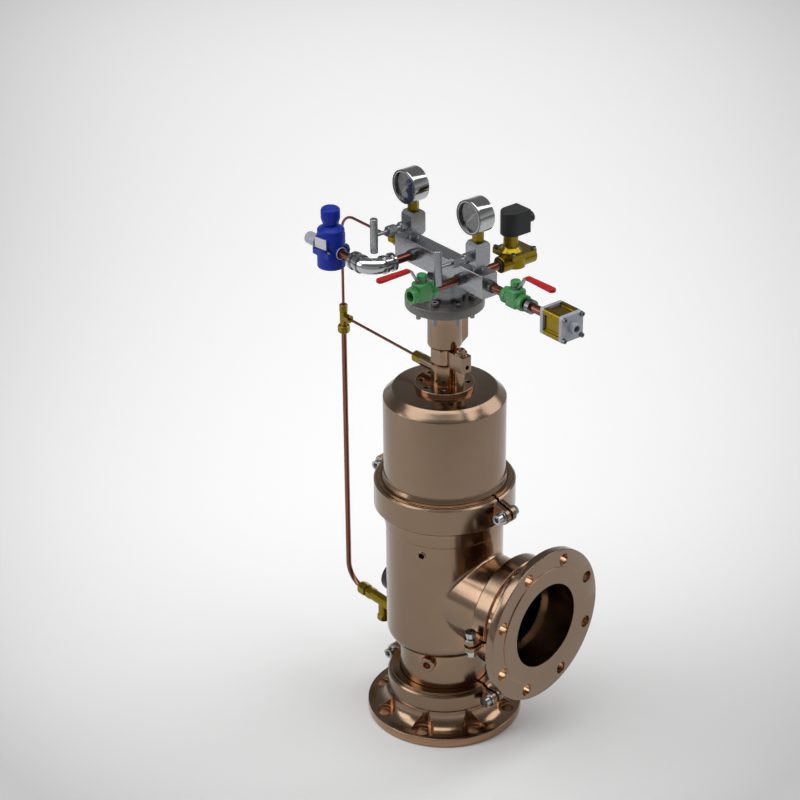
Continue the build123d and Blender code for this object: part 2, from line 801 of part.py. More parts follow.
# Upper column with a boss at the back
column = turned(
    [(0, hex_column_top), (column_r, hex_column_top), (column_r, top_flange_bottom), (0, top_flange_bottom)],
    [0, 7, 0, 0])
rear_outline = Polyline(
    (0, hex_column_top), (column_r - 6, hex_column_top), (rear_boss_reach, rear_boss_bottom),
    (rear_boss_reach, rear_boss_top), (0, rear_boss_top), close=True)
rear_boss = Rot(0, 0, 90) * Rot(90, 0, 0) * Pos(0, 0, -rear_boss_half_width) * extrude(
    make_face(rear_outline), 2 * rear_boss_half_width)
rear_boss = fillet(rear_boss.edges().filter_by(Axis.Z).group_by(Axis.Y)[-1], 5)
column += rear_boss
column -= disc(pilot_passage_r, hex_column_top - 1, top_flange_bottom + 1)
column -= along_v(0, 0, rear_port_height, rear_boss_reach - port_depth, rear_boss_reach + 1, relay_port_r)
save("pilot_column", in_trim(column))

# Top flange and its bolts, whose tails hang below it
bolt_tap = disc(top_bolt_r + running_clearance, top_flange_bottom - 1, top_flange_top + 1)
top_flange = turned(
    [(pilot_passage_r, top_flange_bottom), (top_flange_r, top_flange_bottom), (top_flange_r, top_flange_top),
     (pilot_passage_r, top_flange_top)], [0, 1.5, 1.5, 0])
top_bolt_start = 180 / top_bolt_count
for cut in ring_of(top_bolt_count, top_bolt_circle_r, top_bolt_start, bolt_tap):
    top_flange -= cut
save("top_flange", top_flange)
top_bolt = disc(top_bolt_head_r, top_flange_top, top_flange_top + 2 * top_bolt_r)
top_bolt -= hexagon(1.5 * top_bolt_r, top_flange_top + top_bolt_r, top_flange_top + 2 * top_bolt_r + 2)
top_bolt += disc(top_bolt_r, top_flange_top - top_bolt_length, top_flange_top)
save("top_flange_bolts", *ring_of(top_bolt_count, top_bolt_circle_r, top_bolt_start, top_bolt))

hub = turned(
    [(pilot_passage_r, top_flange_top), (manifold_hub_r, top_flange_top),
     (manifold_hub_r, top_flange_top + manifold_hub_foot), (manifold_hub_top_r, manifold_bottom),
     (pilot_passage_r, manifold_bottom)], [0, 0, manifold_hub_waist, 0, 0])
save("manifold_hub", hub)

# Manifold bar with a bored line through it and a socket at every port
socket_r = pipe_r + running_clearance
bar = block(manifold_left, manifold_right, -manifold_half_width, manifold_half_width,
            manifold_bottom, manifold_top)
bar = fillet(bar.edges().filter_by(Axis.X), 2)
front = -manifold_half_width
bar -= along_u(0, 0, port_height, manifold_left - 1, manifold_right + 1, line_bore_r)
bar -= along_u(0, 0, port_height, manifold_right - socket_depth, manifold_right + 1, socket_r)
bar -= along_u(0, 0, port_height, manifold_left - 1, manifold_left + socket_depth, socket_r)
for station in (left_port_u, right_port_u):
    bar -= along_v(station, 0, port_height, front - 1, front + socket_depth, socket_r)
    bar -= along_v(station, 0, port_height, front + socket_depth - 1, 0, branch_bore_r)
bar -= along_v(right_port_u, 0, port_height, -front - socket_depth, 1 - front, socket_r)
bar -= along_v(right_port_u, 0, port_height, 0, 1 - front - socket_depth, branch_bore_r)
bar -= disc(branch_bore_r, manifold_bottom - 1, port_height)
for station in (left_gauge_u, right_gauge_u):
    bar -= Pos(station, 0, 0) * disc(branch_bore_r, port_height, manifold_top + 1)
save("manifold_block", in_trim(bar))


# Gauge valves: square block on a round neck, glands and a spindle with a bar handle at the front
def make_gauge_valve():
    half_u = gauge_block_length / 2
    half_v = gauge_block_width / 2
    body = block(-half_u, half_u, -half_v, half_v, gauge_block_bottom, gauge_block_top)
    body = chamfer(body.edges().filter_by(Axis.X), gauge_block_bevel)
    body += disc(gauge_neck_r, manifold_top, gauge_block_bottom)
    body -= disc(branch_bore_r, manifold_top - 1, gauge_block_top)
    body -= disc(gauge_socket_r + running_clearance, gauge_block_top - socket_depth, gauge_block_top + 1)
    body -= along_v(0, 0, spindle_height, -half_v - 1, 0, spindle_r + running_clearance)
    return body


inner_nut_front = -gauge_block_width / 2 - inner_nut_length
gland_neck_front = inner_nut_front - gland_neck_length
outer_nut_front = gland_neck_front - outer_nut_length
spindle_bore = spindle_r + running_clearance
gland = hexagon(gland_nut_flats, inner_nut_front, -gauge_block_width / 2, spindle_bore)
gland += tube(gland_neck_r, spindle_bore, gland_neck_front, inner_nut_front)
gland += hexagon(gland_nut_flats, outer_nut_front, gland_neck_front, spindle_bore)
gland = Pos(0, 0, spindle_height) * pi_axis_y * gland
tee_handle = along_v(0, 0, spindle_height, -tee_bar_reach, -4, spindle_r)
tee_handle += Pos(0, -tee_bar_reach, 0) * turned(
    [(0, spindle_height - tee_bar_length / 2), (tee_bar_r, spindle_height - tee_bar_length / 2),
     (tee_bar_r, spindle_height + tee_bar_length / 2), (0, spindle_height + tee_bar_length / 2)],
    [0, 2, 2, 0])

# Gauge: open case with a dial, a pointer on its shaft and a glass, screwed in a hexagon socket
gauge_socket = disc(gauge_socket_r, gauge_block_top - socket_depth, gauge_block_top)
gauge_socket += hexagon(gauge_socket_flats, gauge_block_top, gauge_centre_height - gauge_r + 1)
gauge_room = pi_axis_y * disc(gauge_r + running_clearance, -gauge_depth, gauge_depth)
gauge_socket -= Pos(0, 0, gauge_centre_height) * gauge_room
case_back = gauge_depth - gauge_front
dial_back = -gauge_front + gauge_bezel + gauge_dial_drop
case_floor = -dial_back - gauge_dial_thickness
gauge_case = turned(
    [(0, -case_back), (gauge_r, -case_back), (gauge_r, gauge_front), (gauge_r - gauge_bezel, gauge_front),
     (gauge_r - gauge_wall, gauge_front - gauge_bezel), (gauge_r - gauge_wall, case_floor), (0, case_floor)],
    [0, 2, 2.5, 0, 0, 0, 0])
inner_r = gauge_r - gauge_wall - running_clearance
gauge_case -= disc(gauge_shaft_r + running_clearance, -case_back + 2, gauge_front)
dial = tube(inner_r, gauge_shaft_r + running_clearance, case_floor, -dial_back)
glass_back = gauge_front - gauge_bezel - gauge_glass_thickness
glass = disc(inner_r, glass_back, gauge_front - gauge_bezel)
pointer_lift = -dial_back + 1
pointer = make_hull(Circle(3).edges() + (Pos(0, pointer_length) * Circle(0.6)).edges())
pointer = Pos(0, 0, pointer_lift) * extrude(pointer, 1)
pointer += Pos(0, -6, pointer_lift + 0.5) * Box(2.4, 10, 1)
pointer += disc(gauge_shaft_r, -case_back + 4, pointer_lift)
pointer += disc(2.2, pointer_lift, pointer_lift + 2.5)
facing = Rot(90, 0, 0)


def at_gauge(u, shape):
    """Place a piece modelled on +Z at a gauge's centre, facing the front."""
    return in_trim(Pos(u, 0, gauge_centre_height) * facing * shape)


gauge_stations = (left_gauge_u, right_gauge_u)
save("gauge_valves", *[in_trim(Pos(u, 0, 0) * make_gauge_valve()) for u in gauge_stations])
save("gland_nuts", *[in_trim(Pos(u, 0, 0) * gland) for u in gauge_stations])
save("left_spindle", in_trim(Pos(left_gauge_u, 0, 0) * tee_handle))
save("right_spindle", in_trim(Pos(right_gauge_u, 0, 0) * tee_handle))
save("gauge_sockets", *[in_trim(Pos(u, 0, 0) * gauge_socket) for u in gauge_stations])
save("gauge_cases", *[at_gauge(u, gauge_case) for u in gauge_stations])
save("gauge_dials", *[at_gauge(u, dial) for u in gauge_stations])
save("gauge_glasses", *[at_gauge(u, glass) for u in gauge_stations])
save("left_gauge_pointer", at_gauge(left_gauge_u, Rot(0, 0, 135) * pointer))
save("right_gauge_pointer", at_gauge(right_gauge_u, Rot(0, 0, 135) * pointer))


# Ball valve along X with its stem up
def make_valve_body():
    end = valve_half_length
    neck = end - valve_end_length
    body = turned(
        [(0, -end), (valve_barrel_r - 1, -end), (valve_barrel_r - 1, -neck), (valve_waist_r, -neck + 4),
         (valve_waist_r, neck - 4), (valve_barrel_r - 1, neck), (valve_barrel_r - 1, end), (0, end)],
        [0, 1, 0, 2, 2, 0, 1, 0])
    for side in (1, -1):
        body += hexagon(valve_end_flats, min(side * end, side * neck), max(side * end, side * neck))
    body = pi_axis_x * body
    body += disc(valve_boss_r, 0, valve_boss_top)
    body -= Sphere(valve_ball_r + joint_gap)
    body -= along_u(0, 0, 0, -end, end, valve_bore_r)
    body -= along_u(0, 0, 0, -end - 1, socket_depth - end, socket_r)
    body -= along_u(0, 0, 0, end - socket_depth, end + 1, socket_r)
    return body - disc(valve_stem_r + running_clearance, 0, valve_boss_top + 1)


lever_bottom = valve_boss_top + joint_gap
ball = Sphere(valve_ball_r) - along_u(0, 0, 0, -20, 20, valve_bore_r)
ball += disc(valve_stem_r, valve_ball_r - 1.5, lever_bottom)

lever_rise = lever_grip_height - lever_bottom
lever_line = [(-lever_hub_r, 0), (lever_hub_r + 1, 0), (lever_rise_end, lever_rise),
              (lever_reach, lever_rise)]
lever_middle = lever_bottom + lever_thickness / 2
lever_wire = FilletPolyline(*[(x, 0, z + lever_middle) for x, z in lever_line], radius=5)
lever_end = Plane(origin=lever_wire @ 0, z_dir=(1, 0, 0), x_dir=(0, 1, 0))
lever = sweep(lever_end * Rectangle(lever_width, lever_thickness), lever_wire)
lever += disc(lever_hub_r, lever_bottom, lever_bottom + lever_thickness)
lever_face = lever_bottom + lever_thickness
lever += hexagon(2 * lever_nut_r, lever_face, lever_face + lever_nut_height)
grip_mid = lever_grip_height + lever_thickness / 2
grip_tip = Pos(grip_end - grip_width / 2, 0) * Circle(grip_width / 2)
grip_root = Pos(grip_start + 2, 0) * RectangleRounded(4, grip_root_width, 1.5)
grip = extrude(make_hull(grip_tip.edges() + grip_root.edges()), grip_thickness)
grip = fillet(grip.edges().group_by(Axis.Z)[-1] + grip.edges().group_by(Axis.Z)[0], 2.4)
grip = Pos(0, 0, grip_mid - grip_thickness / 2) * grip
grip -= Pos(lever_reach / 2, 0, grip_mid) * Box(lever_reach, lever_width, lever_thickness)
to_drain_valve = Pos(right_port_u, -drain_valve_offset, port_height) * Rot(0, 0, -90)
to_test_valve = Pos(test_valve_offset, 0, port_height)
valve_body = make_valve_body()
save("ball_valve_bodies", in_trim(to_drain_valve * valve_body), in_trim(to_test_valve * valve_body))
for name, place in (("drain", to_drain_valve), ("test", to_test_valve)):
    save(name + "_valve_ball", in_trim(place * ball))
    save(name + "_valve_lever", in_trim(place * lever))
    save(name + "_lever_grip", in_trim(place * grip))

# Round elbow from the left front port to the regulator
elbow_start = -regulator_v - elbow_bend - elbow_arm
elbow_end = left_port_u - elbow_bend - elbow_arm
elbow_line = FilletPolyline(
    (left_port_u, -elbow_start, port_height), (left_port_u, regulator_v, port_height),
    (elbow_end, regulator_v, port_height), radius=elbow_bend)
elbow_section = Plane(origin=elbow_line @ 0, z_dir=(0, -1, 0))
elbow = sweep(elbow_section * Circle(elbow_r), elbow_line)
for bead in (0, elbow_arm - elbow_bead_width):
    elbow += along_v(left_port_u, 0, port_height, -elbow_start - bead - elbow_bead_width,
                     -elbow_start - bead, elbow_bead_r)
    elbow += along_u(0, regulator_v, port_height, elbow_end + bead, elbow_end + bead + elbow_bead_width,
                     elbow_bead_r)
elbow -= sweep(elbow_section * Circle(valve_bore_r), elbow_line)
elbow -= along_v(left_port_u, 0, port_height, -elbow_start - socket_depth, 1 - elbow_start, socket_r)
elbow -= along_u(0, regulator_v, port_height, elbow_end - 1, elbow_end + socket_depth, socket_r)
save("chrome_elbow", in_trim(elbow))


# Pressure regulator: round body with a square flange, bonnet and turning knob
def make_regulator():
    body = disc(regulator_r, regulator_bottom, regulator_split)
    body = fillet(body.edges().group_by(Axis.Z)[0], 2)
    half = regulator_flange_half
    flange = block(-half, half, -half, half, regulator_flange_bottom, regulator_flange_top)
    body += fillet(flange.edges().filter_by(Axis.Z), 4)
    reach = regulator_port_reach
    body += along_u(0, 0, port_height, -reach, reach, regulator_port_r)
    body += along_v(0, 0, port_height - gauge_port_drop, 0, gauge_port_reach, gauge_port_r)
    body -= along_u(0, 0, port_height, -reach - 1, socket_depth - reach, socket_r)
    body -= along_u(0, 0, port_height, reach - socket_depth, reach + 1, socket_r)
    body -= along_u(0, 0, port_height, -reach, reach, line_bore_r)
    body -= along_v(0, 0, port_height - gauge_port_drop, gauge_port_reach - gauge_port_depth,
                    gauge_port_reach + 1, relay_port_r)
    return body


regulator_bonnet = turned(
    [(0, regulator_split), (regulator_r, regulator_split), (regulator_r, regulator_ring_top),
     (regulator_bonnet_r, regulator_ring_top), (regulator_bonnet_r, regulator_shoulder),
     (regulator_neck_r, regulator_neck_top), (0, regulator_neck_top)],
    [0, 0, 0.4, 0, 4, 2, 0])
knob_bottom = regulator_neck_top + knob_rise
regulator_bonnet -= disc(knob_spindle_r + running_clearance, knob_bottom - 14, knob_bottom + 1)
knob = turned(
    [(0, knob_bottom), (knob_base_r, knob_bottom), (knob_r, knob_bottom + 12),
     (knob_r, knob_bottom + knob_height), (0, knob_bottom + knob_height)], [0, 1, 4, 6, 0])
for cut in ring_of(18, knob_r + 0.9, 0, disc(1.6, knob_bottom + 9, knob_bottom + knob_height - 5)):
    knob -= cut
knob += disc(knob_spindle_r, knob_bottom - 12, knob_bottom)


def at_regulator(shape):
    return in_trim(Pos(regulator_u, regulator_v, 0) * shape)


save("regulator_body", at_regulator(make_regulator()))
save("regulator_bonnet", at_regulator(regulator_bonnet))
save("regulator_knob", at_regulator(knob))
left_port = regulator_port_reach
cap_start = left_port + end_nipple_length - 2 * socket_depth
port_cap = turned(
    [(0, cap_start + socket_depth), (socket_r, cap_start + socket_depth), (socket_r, cap_start),
     (end_cap_r, cap_start), (end_cap_r, cap_start + end_cap_length), (0, cap_start + end_cap_length)],
    [0, 0, 0, 1, 5, 0])
save("regulator_port_cap", at_regulator(Pos(0, 0, port_height) * Rot(0, -90, 0) * port_cap))

# Solenoid valve on the back port: barrel, square plate, core tube, coil and sliding plunger
barrel = along_v(0, 0, port_height, solenoid_start, solenoid_end, solenoid_barrel_r)
barrel = fillet(barrel.edges(), 1.5)
barrel += Pos(0, solenoid_plate_v, 0) * disc(solenoid_barrel_r + 4, port_height - 10, solenoid_plate_bottom)
plate = block(-solenoid_plate_half, solenoid_plate_half, solenoid_plate_v - solenoid_plate_half,
              solenoid_plate_v + solenoid_plate_half, solenoid_plate_bottom,
              solenoid_plate_bottom + solenoid_plate_thickness)
barrel += fillet(plate.edges().filter_by(Axis.Z), 3)
plate_face = solenoid_plate_bottom + solenoid_plate_thickness
dome_top = plate_face + solenoid_dome_height
barrel += Pos(0, core_v, 0) * turned(
    [(0, plate_face - 1), (solenoid_dome_r, plate_face - 1), (solenoid_dome_r, plate_face),
     (core_r + 1, dome_top), (core_r + 1, coil_bottom - 1), (core_r, coil_bottom - 1), (core_r, core_top),
     (0, core_top)],
    [0, 0, 2, 3, 0, 0, 2, 0])
plunger_room = plunger_length + plunger_stroke + 1
plunger_bottom = core_top - core_wall - plunger_room
barrel -= Pos(0, core_v, 0) * disc(plunger_r + running_clearance, plunger_bottom, core_top - core_wall)
barrel -= along_v(0, 0, port_height, solenoid_start - 1, solenoid_start + socket_depth, socket_r)
barrel -= along_v(0, 0, port_height, solenoid_start, solenoid_end - 11, line_bore_r)
barrel -= along_v(0, 0, port_height, solenoid_end - 12, solenoid_end + 1, socket_r)
plunger = Pos(0, core_v, 0) * turned(
    [(0, plunger_bottom + seal_step), (plunger_r, plunger_bottom + seal_step),
     (plunger_r, plunger_bottom + plunger_length), (0, plunger_bottom + plunger_length)], [0, 1, 1, 0])
coil = Pos(0, core_v, 0) * disc(coil_half, coil_bottom, coil_top)
coil += block(-coil_half, coil_half, core_v, coil_back, coil_bottom, coil_top)
coil = fillet(coil.edges().group_by(Axis.Z)[-1], 3)
coil += along_v(conduit_offset, 0, conduit_height, coil_back - 1, coil_back + conduit_length, conduit_r)
coil -= Pos(0, core_v, 0) * disc(core_r + joint_gap, coil_bottom - 1, coil_top - 3)


def at_solenoid(shape):
    return in_trim(Pos(right_port_u, 0, 0) * shape)


save("solenoid_body", at_solenoid(barrel))
save("solenoid_coil", at_solenoid(coil))
save("solenoid_plunger", at_solenoid(plunger))

# Line filter: a ribbed square section between two end caps
profile_start = filter_start + filter_cap_thickness
profile_end = profile_start + filter_body_length
filter_low = port_height - filter_half
filter_high = port_height + filter_half
profile = block(profile_start, profile_end, -filter_half, filter_half, filter_low, filter_high)
profile = fillet(profile.edges().filter_by(Axis.X), filter_corner)
for quarter in range(4):
    trough = block(profile_start - 1, profile_end + 1, -filter_groove_half, filter_groove_half,
                   filter_half - filter_groove_depth, filter_half + 1)
    trough = chamfer(trough.edges().filter_by(Axis.X).group_by(Axis.Z)[0], 2)
    profile -= Pos(0, 0, port_height) * Rot(quarter * 90, 0, 0) * trough
profile -= along_u(0, 0, port_height, profile_start - 1, profile_end + 1, filter_half - 8)
caps = []
for start in (filter_start, profile_end):
    cap = block(start, start + filter_cap_thickness, -filter_half, filter_half, filter_low, filter_high)
    cap = fillet(cap.edges().filter_by(Axis.X), filter_corner)
    caps.append(fillet(cap.edges().group_by(Axis.X)[0 if start < profile_start else -1], 1))
caps[0] += along_u(0, 0, port_height, filter_start - 8, filter_start + 1, filter_port_r)
caps[0] -= along_u(0, 0, port_height, filter_start - 9, filter_start, socket_r)
caps[0] -= along_u(0, 0, port_height, filter_start - 1, profile_start + 1, filter_bore_r)
caps[1] += along_u(0, 0, port_height, filter_end - 1, filter_end + filter_port_reach, filter_port_r)
caps[1] -= along_u(0, 0, port_height, profile_end - 1, filter_end + filter_port_reach + 1, filter_bore_r)
save("filter_profile", in_trim(profile))
save("filter_end_caps", *[in_trim(cap) for cap in caps])

# Small cap screws of the filter, the solenoid plate and the regulator's flange, standing on their faces
def cap_screw(radius):
    return disc(radius, 0, trim_screw_head) - hexagon(radius, 1.5, trim_screw_head + 1)


def screw_square(reach, radius):
    """Four screws at the corners of a square round Z."""
    return [Pos(a * reach, b * reach, 0) * cap_screw(radius) for a in (1, -1) for b in (1, -1)]


filter_face = Pos(filter_end, 0, port_height) * pi_axis_x
plate_place = Pos(right_port_u, solenoid_plate_v, plate_face)
regulator_face = Pos(regulator_u, regulator_v, regulator_flange_top)
trim_screws = [filter_face * screw for screw in screw_square(filter_screw_offset, trim_screw_r)]
trim_screws += [plate_place * screw for screw in screw_square(solenoid_screw_offset, trim_screw_r)]
trim_screws += [regulator_face * screw for screw in screw_square(regulator_screw_offset, regulator_screw_r)]
save("trim_screws", *[in_trim(screw) for screw in trim_screws])

# Straight copper nipples, each bottoming in the sockets at its ends
inner_pipe_r = pipe_r - pipe_wall
drain_valve_back = drain_valve_offset - valve_half_length
nipples = [
    along_v(right_port_u, 0, port_height, -drain_valve_back - socket_depth, front + socket_depth,
            pipe_r, inner_pipe_r),
    along_v(left_port_u, 0, port_height, -elbow_start - socket_depth, front + socket_depth,
            pipe_r, inner_pipe_r),
    along_v(right_port_u, 0, port_height, -front - socket_depth, solenoid_start + socket_depth,
            pipe_r, inner_pipe_r),
    along_u(0, 0, port_height, manifold_right - socket_depth,
            test_valve_offset - valve_half_length + socket_depth, pipe_r, inner_pipe_r),
    along_u(0, 0, port_height, test_valve_offset + valve_half_length - socket_depth, filter_start,
            pipe_r, inner_pipe_r),
    along_u(0, regulator_v, port_height, regulator_u + regulator_port_reach - socket_depth,
            elbow_end + socket_depth, pipe_r, inner_pipe_r),
    along_u(0, regulator_v, port_height, regulator_u - cap_start - socket_depth,
            regulator_u - regulator_port_reach + socket_depth, pipe_r, inner_pipe_r),
]
save("pipe_nipples", *[in_trim(piece) for piece in nipples])

# Steel sleeves where the nipples enter the manifold and the valves
sleeves = [
    along_v(right_port_u, 0, port_height, front - bushing_length, front, bushing_r, socket_r),
    along_v(left_port_u, 0, port_height, front - bushing_length, front, bushing_r, socket_r),
    along_v(right_port_u, 0, port_height, -front, bushing_length - front, bushing_r, socket_r),
    along_u(0, 0, port_height, manifold_right, manifold_right + bushing_length, bushing_r, socket_r),
    along_u(0, 0, port_height, test_valve_offset + valve_half_length,
            test_valve_offset + valve_half_length + bushing_length, bushing_r + 2, socket_r),
]
save("pipe_sleeves", *[in_trim(piece) for piece in sleeves])


# Supply tubing: one thick line down to the neck, a thin line up to the manifold and one to the pilot
def tube_along(points, radius, wall, bend):
    line = FilletPolyline(*[(u, 0, z) for u, z in points], radius=bend)
    start = Plane(origin=line @ 0, z_dir=line % 0)
    return sweep(start * Circle(radius), line) - sweep(start * Circle(radius - wall), line)


tee_height = branch_height
line_height = port_height - thin_line_drop
tee_top = tee_height + tee_upper
tee_foot = tee_height - tee_lower
branch_nut_start = -branch_boss_reach - branch_nut_length
supply_nut_end = supply_start_u + supply_nut_length
supply_ring_end = supply_nut_end + supply_ring_length
supply_hex_end = supply_ring_end + supply_hex_length
manifold_nut_start = manifold_left - 2 * manifold_nut_length
thick_line = tube_along(
    [(tube_u, tee_foot), (tube_u, supply_port_height), (supply_nut_end, supply_port_height)],
    thick_tube_r, thick_tube_wall, thick_bend)
thin_line = tube_along([(tube_u, tee_top), (tube_u, line_height), (manifold_left - 6, line_height)],
                       thin_tube_r, thin_tube_wall, thin_bend)
pilot_line = along_u(0, 0, tee_height, tube_u + tee_side, 10 - branch_boss_reach, thin_tube_r,
                     thin_tube_r - thin_tube_wall)
save("copper_tubes", in_trim(thick_line), in_trim(thin_line), in_trim(pilot_line))

thin_bore = thin_tube_r + running_clearance
thick_bore = thick_tube_r + running_clearance
fitting_bore = thin_tube_r - thin_tube_wall
tee = disc(tee_r, tee_foot, tee_top)
tee += along_u(0, 0, tee_height, 0, tee_side, tee_r)
tee -= disc(fitting_bore, tee_foot - 1, tee_top + 1)
tee -= along_u(0, 0, tee_height, 0, tee_side + 1, fitting_bore)
tee_nuts = [
    hexagon(small_nut_flats, tee_top, tee_top + small_nut_length, thin_bore),
    hexagon(large_nut_flats, tee_foot - large_nut_length, tee_foot, thick_bore),
    Pos(0, 0, tee_height) * pi_axis_x * hexagon(
        side_nut_flats, tee_side, tee_side + side_nut_length, thin_bore),
]
at_tee = Pos(tube_u, 0, 0)
branch_nut = Pos(0, 0, branch_height) * pi_axis_x * hexagon(
    branch_nut_flats, branch_nut_start, -branch_boss_reach, thin_bore)
manifold_nut = Pos(0, 0, line_height) * pi_axis_x * (
    hexagon(manifold_nut_flats, manifold_nut_start, manifold_nut_start + manifold_nut_length, thin_bore)
    + tube(manifold_nut_flats / 2 + 2, thin_bore, manifold_nut_start + manifold_nut_length, manifold_left))

# Elbow fitting of the supply line: nut, ring, second hexagon, body and a capped leg hanging below it
supply = Pos(0, 0, supply_port_height) * pi_axis_x * (
    disc(supply_ring_r, supply_nut_end, supply_ring_end)
    + hexagon(supply_hex_flats, supply_ring_end, supply_hex_end)
    + disc(supply_body_r, supply_hex_end, -low_port_reach)
    - disc(fitting_bore, supply_nut_end - 1, 1 - low_port_reach))
leg_foot = supply_port_height - supply_leg_drop
supply += Pos(supply_leg_u, 0, 0) * disc(supply_body_r, leg_foot, supply_port_height)
supply += Pos(supply_leg_u, 0, 0) * hexagon(supply_nut_flats, leg_foot, leg_foot + supply_leg_cap)
supply_nut = Pos(0, 0, supply_port_height) * pi_axis_x * hexagon(
    supply_nut_flats, supply_start_u, supply_nut_end, thick_bore)
save("tube_nuts", *[in_trim(at_tee * piece) for piece in tee_nuts], in_trim(branch_nut),
     in_trim(manifold_nut), in_trim(supply_nut))
save("tube_fittings", in_trim(at_tee * tee), in_trim(supply))
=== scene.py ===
import json
import math

import bpy
from mathutils import Matrix, Vector


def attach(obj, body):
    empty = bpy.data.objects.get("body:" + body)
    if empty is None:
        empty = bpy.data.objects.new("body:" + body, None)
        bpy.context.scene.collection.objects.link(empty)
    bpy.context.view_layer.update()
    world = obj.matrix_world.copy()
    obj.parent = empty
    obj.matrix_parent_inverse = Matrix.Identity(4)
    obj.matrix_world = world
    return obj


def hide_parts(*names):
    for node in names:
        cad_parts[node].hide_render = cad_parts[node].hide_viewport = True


bl_info = {
    "name": "Deluge valve",
    "version": (1, 0, 0),
    "blender": (4, 5, 0),
    "location": "View3D > Sidebar > Deluge valve",
    "description": "Dresses a bronze deluge valve and its pilot trim, and sets a pale studio round it",
    "category": "Object",
}

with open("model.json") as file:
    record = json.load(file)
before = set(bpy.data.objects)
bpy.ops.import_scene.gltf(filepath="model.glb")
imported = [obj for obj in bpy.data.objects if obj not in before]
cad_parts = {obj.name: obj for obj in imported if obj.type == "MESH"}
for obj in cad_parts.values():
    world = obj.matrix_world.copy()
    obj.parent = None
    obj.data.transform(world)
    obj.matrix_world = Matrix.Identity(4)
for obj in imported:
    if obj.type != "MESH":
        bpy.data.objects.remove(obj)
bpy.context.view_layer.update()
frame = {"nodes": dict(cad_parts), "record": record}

QUARTER = math.radians(90)
UPRIGHT = Matrix.Rotation(QUARTER, 4, "X")

# The trim on top of the valve is turned about the valve's axis
TRIM = Matrix.Rotation(math.radians(-8.1), 4, "Z")
ALONG = TRIM @ Matrix.Rotation(QUARTER, 4, "Y")
ACROSS = TRIM @ UPRIGHT

# Where the trim stands: along the manifold and across it, and its heights, in metres
DRAIN_SPOT = (0.063, -0.101)
TEST_SPOT = (0.178, 0)
REGULATOR_SPOT = (-0.1695, -0.108)
GAUGES_ALONG = {"left": -0.082, "right": 0.084}
GAUGE_DIAL_ACROSS = -0.0091
GAUGE_LIP_ACROSS = -0.0208
PORT_HEIGHT = 0.886
SPLIT_HEIGHT = 0.8995
PLATE_HEIGHT = 0.9030
GAUGE_HEIGHT = 1.0025

# Where copper pipes enter the manifold's front, its right end and the solenoid valve
FRONT_ENTRIES = ((-0.061, -0.0263), (0.063, -0.0263))
END_ENTRY = (0.1243, 0)
SOLENOID_ENTRY = (0.063, 0.0635)

# Rings: outside radius, wall, width and edge
PIPE_RING = (0.0094, 0.0019, 0.0026, 0.0008)
PORT_RIM = (0.0109, 0.0013, 0.0010, 0.0003)
# The port's inner ring is painted shade of its opening
PORT_SHADE_RING = (0.0097, 0.0020, 0.0008, 0.0003)
SPLIT_LINE = (0.0245, 0.0010, 0.0012, 0.0002)
GAUGE_LIP = (0.02955, 0.0022, 0.0006, 0.0002)
RIM_REACH = 0.0283

# Ball valve bodies and lever caps
SHELL_RADIUS, SHELL_LENGTH = 0.0126, 0.050
MIDDLE_SIZE, MIDDLE_RISE = (0.027, 0.026, 0.033), 0.0031
END_RADIUS, END_LENGTH, END_REACH = 0.0146, 0.0095, 0.02025
COLLAR_RADIUS, COLLAR_HEIGHT, COLLAR_RISE = 0.0098, 0.0010, 0.0195
SHELL_BORE, BORE_LENGTH = 0.0088, 0.08
MIDDLE_EDGE, END_EDGE = 0.0045, 0.0012
CAP_RADIUS, CAP_HEIGHT, CAP_RISE = 0.0087, 0.0104, 0.0229
CAP_EDGE = 0.0026

# Regulator plate: how far each piece stands out from the regulator's axis
PAD_SIZE, PAD_OUT = (0.029, 0.021, 0.010), 0.0200
PLATE_SIZE, PLATE_OUT = (0.0265, 0.0185, 0.0008), 0.0252
RIVET_SIZE, RIVET_OUT = 0.0010, 0.0259
RIVET_X, RIVET_Y = 0.0112, 0.0072
PAD_EDGE, PLATE_EDGE, RIVET_EDGE = 0.0022, 0.0003, 0.0004

# Dial: a long mark with a number at every fifth step
DIAL_STEPS, DIAL_GROUP = 31, 5
DIAL_START, DIAL_STEP = 135, 9
LONG_MARK, SHORT_MARK = (0.0007, 0.0034, 0.0002), (0.0004, 0.0020, 0.0002)
MARK_RADIUS, MARK_EDGE, NUMBER_RADIUS = 0.0236, 0.0001, 0.0172
NUMBER_SIZE, NUMBER_DEPTH = 0.0042, 0.0001

# Shading: the painted glow in the corners, worn edges and the angle past which an edge stays hard
CORNER_REACH, CORNER_SAMPLES = 0.07, 6
CORNER_START, CORNER_GAIN = 0.15, 1.3
WORN_EDGE, WORN_SAMPLES = 0.0014, 4
SOLID_ANGLE, PIECE_ANGLE = math.radians(28), math.radians(32)
WELD_DISTANCE = 0.00001
COAT_ROUGHNESS, BUMP_STRENGTH, NOISE_ROUGHNESS = 0.08, 0.35, 0.55

# Mottling: the fine noise against the broad one, how they are mixed, and where the second tone starts
MOTTLE_FINE, MOTTLE_SHARES = 7.0, (0.7, 0.3)
MOTTLE_START, MOTTLE_GAIN = 0.35, 3.0
SWELL_SCALE = 0.12
GLASS_IOR, SMEAR_SCALE, SMEAR_ROUGHNESS = 1.45, 40.0, 0.06


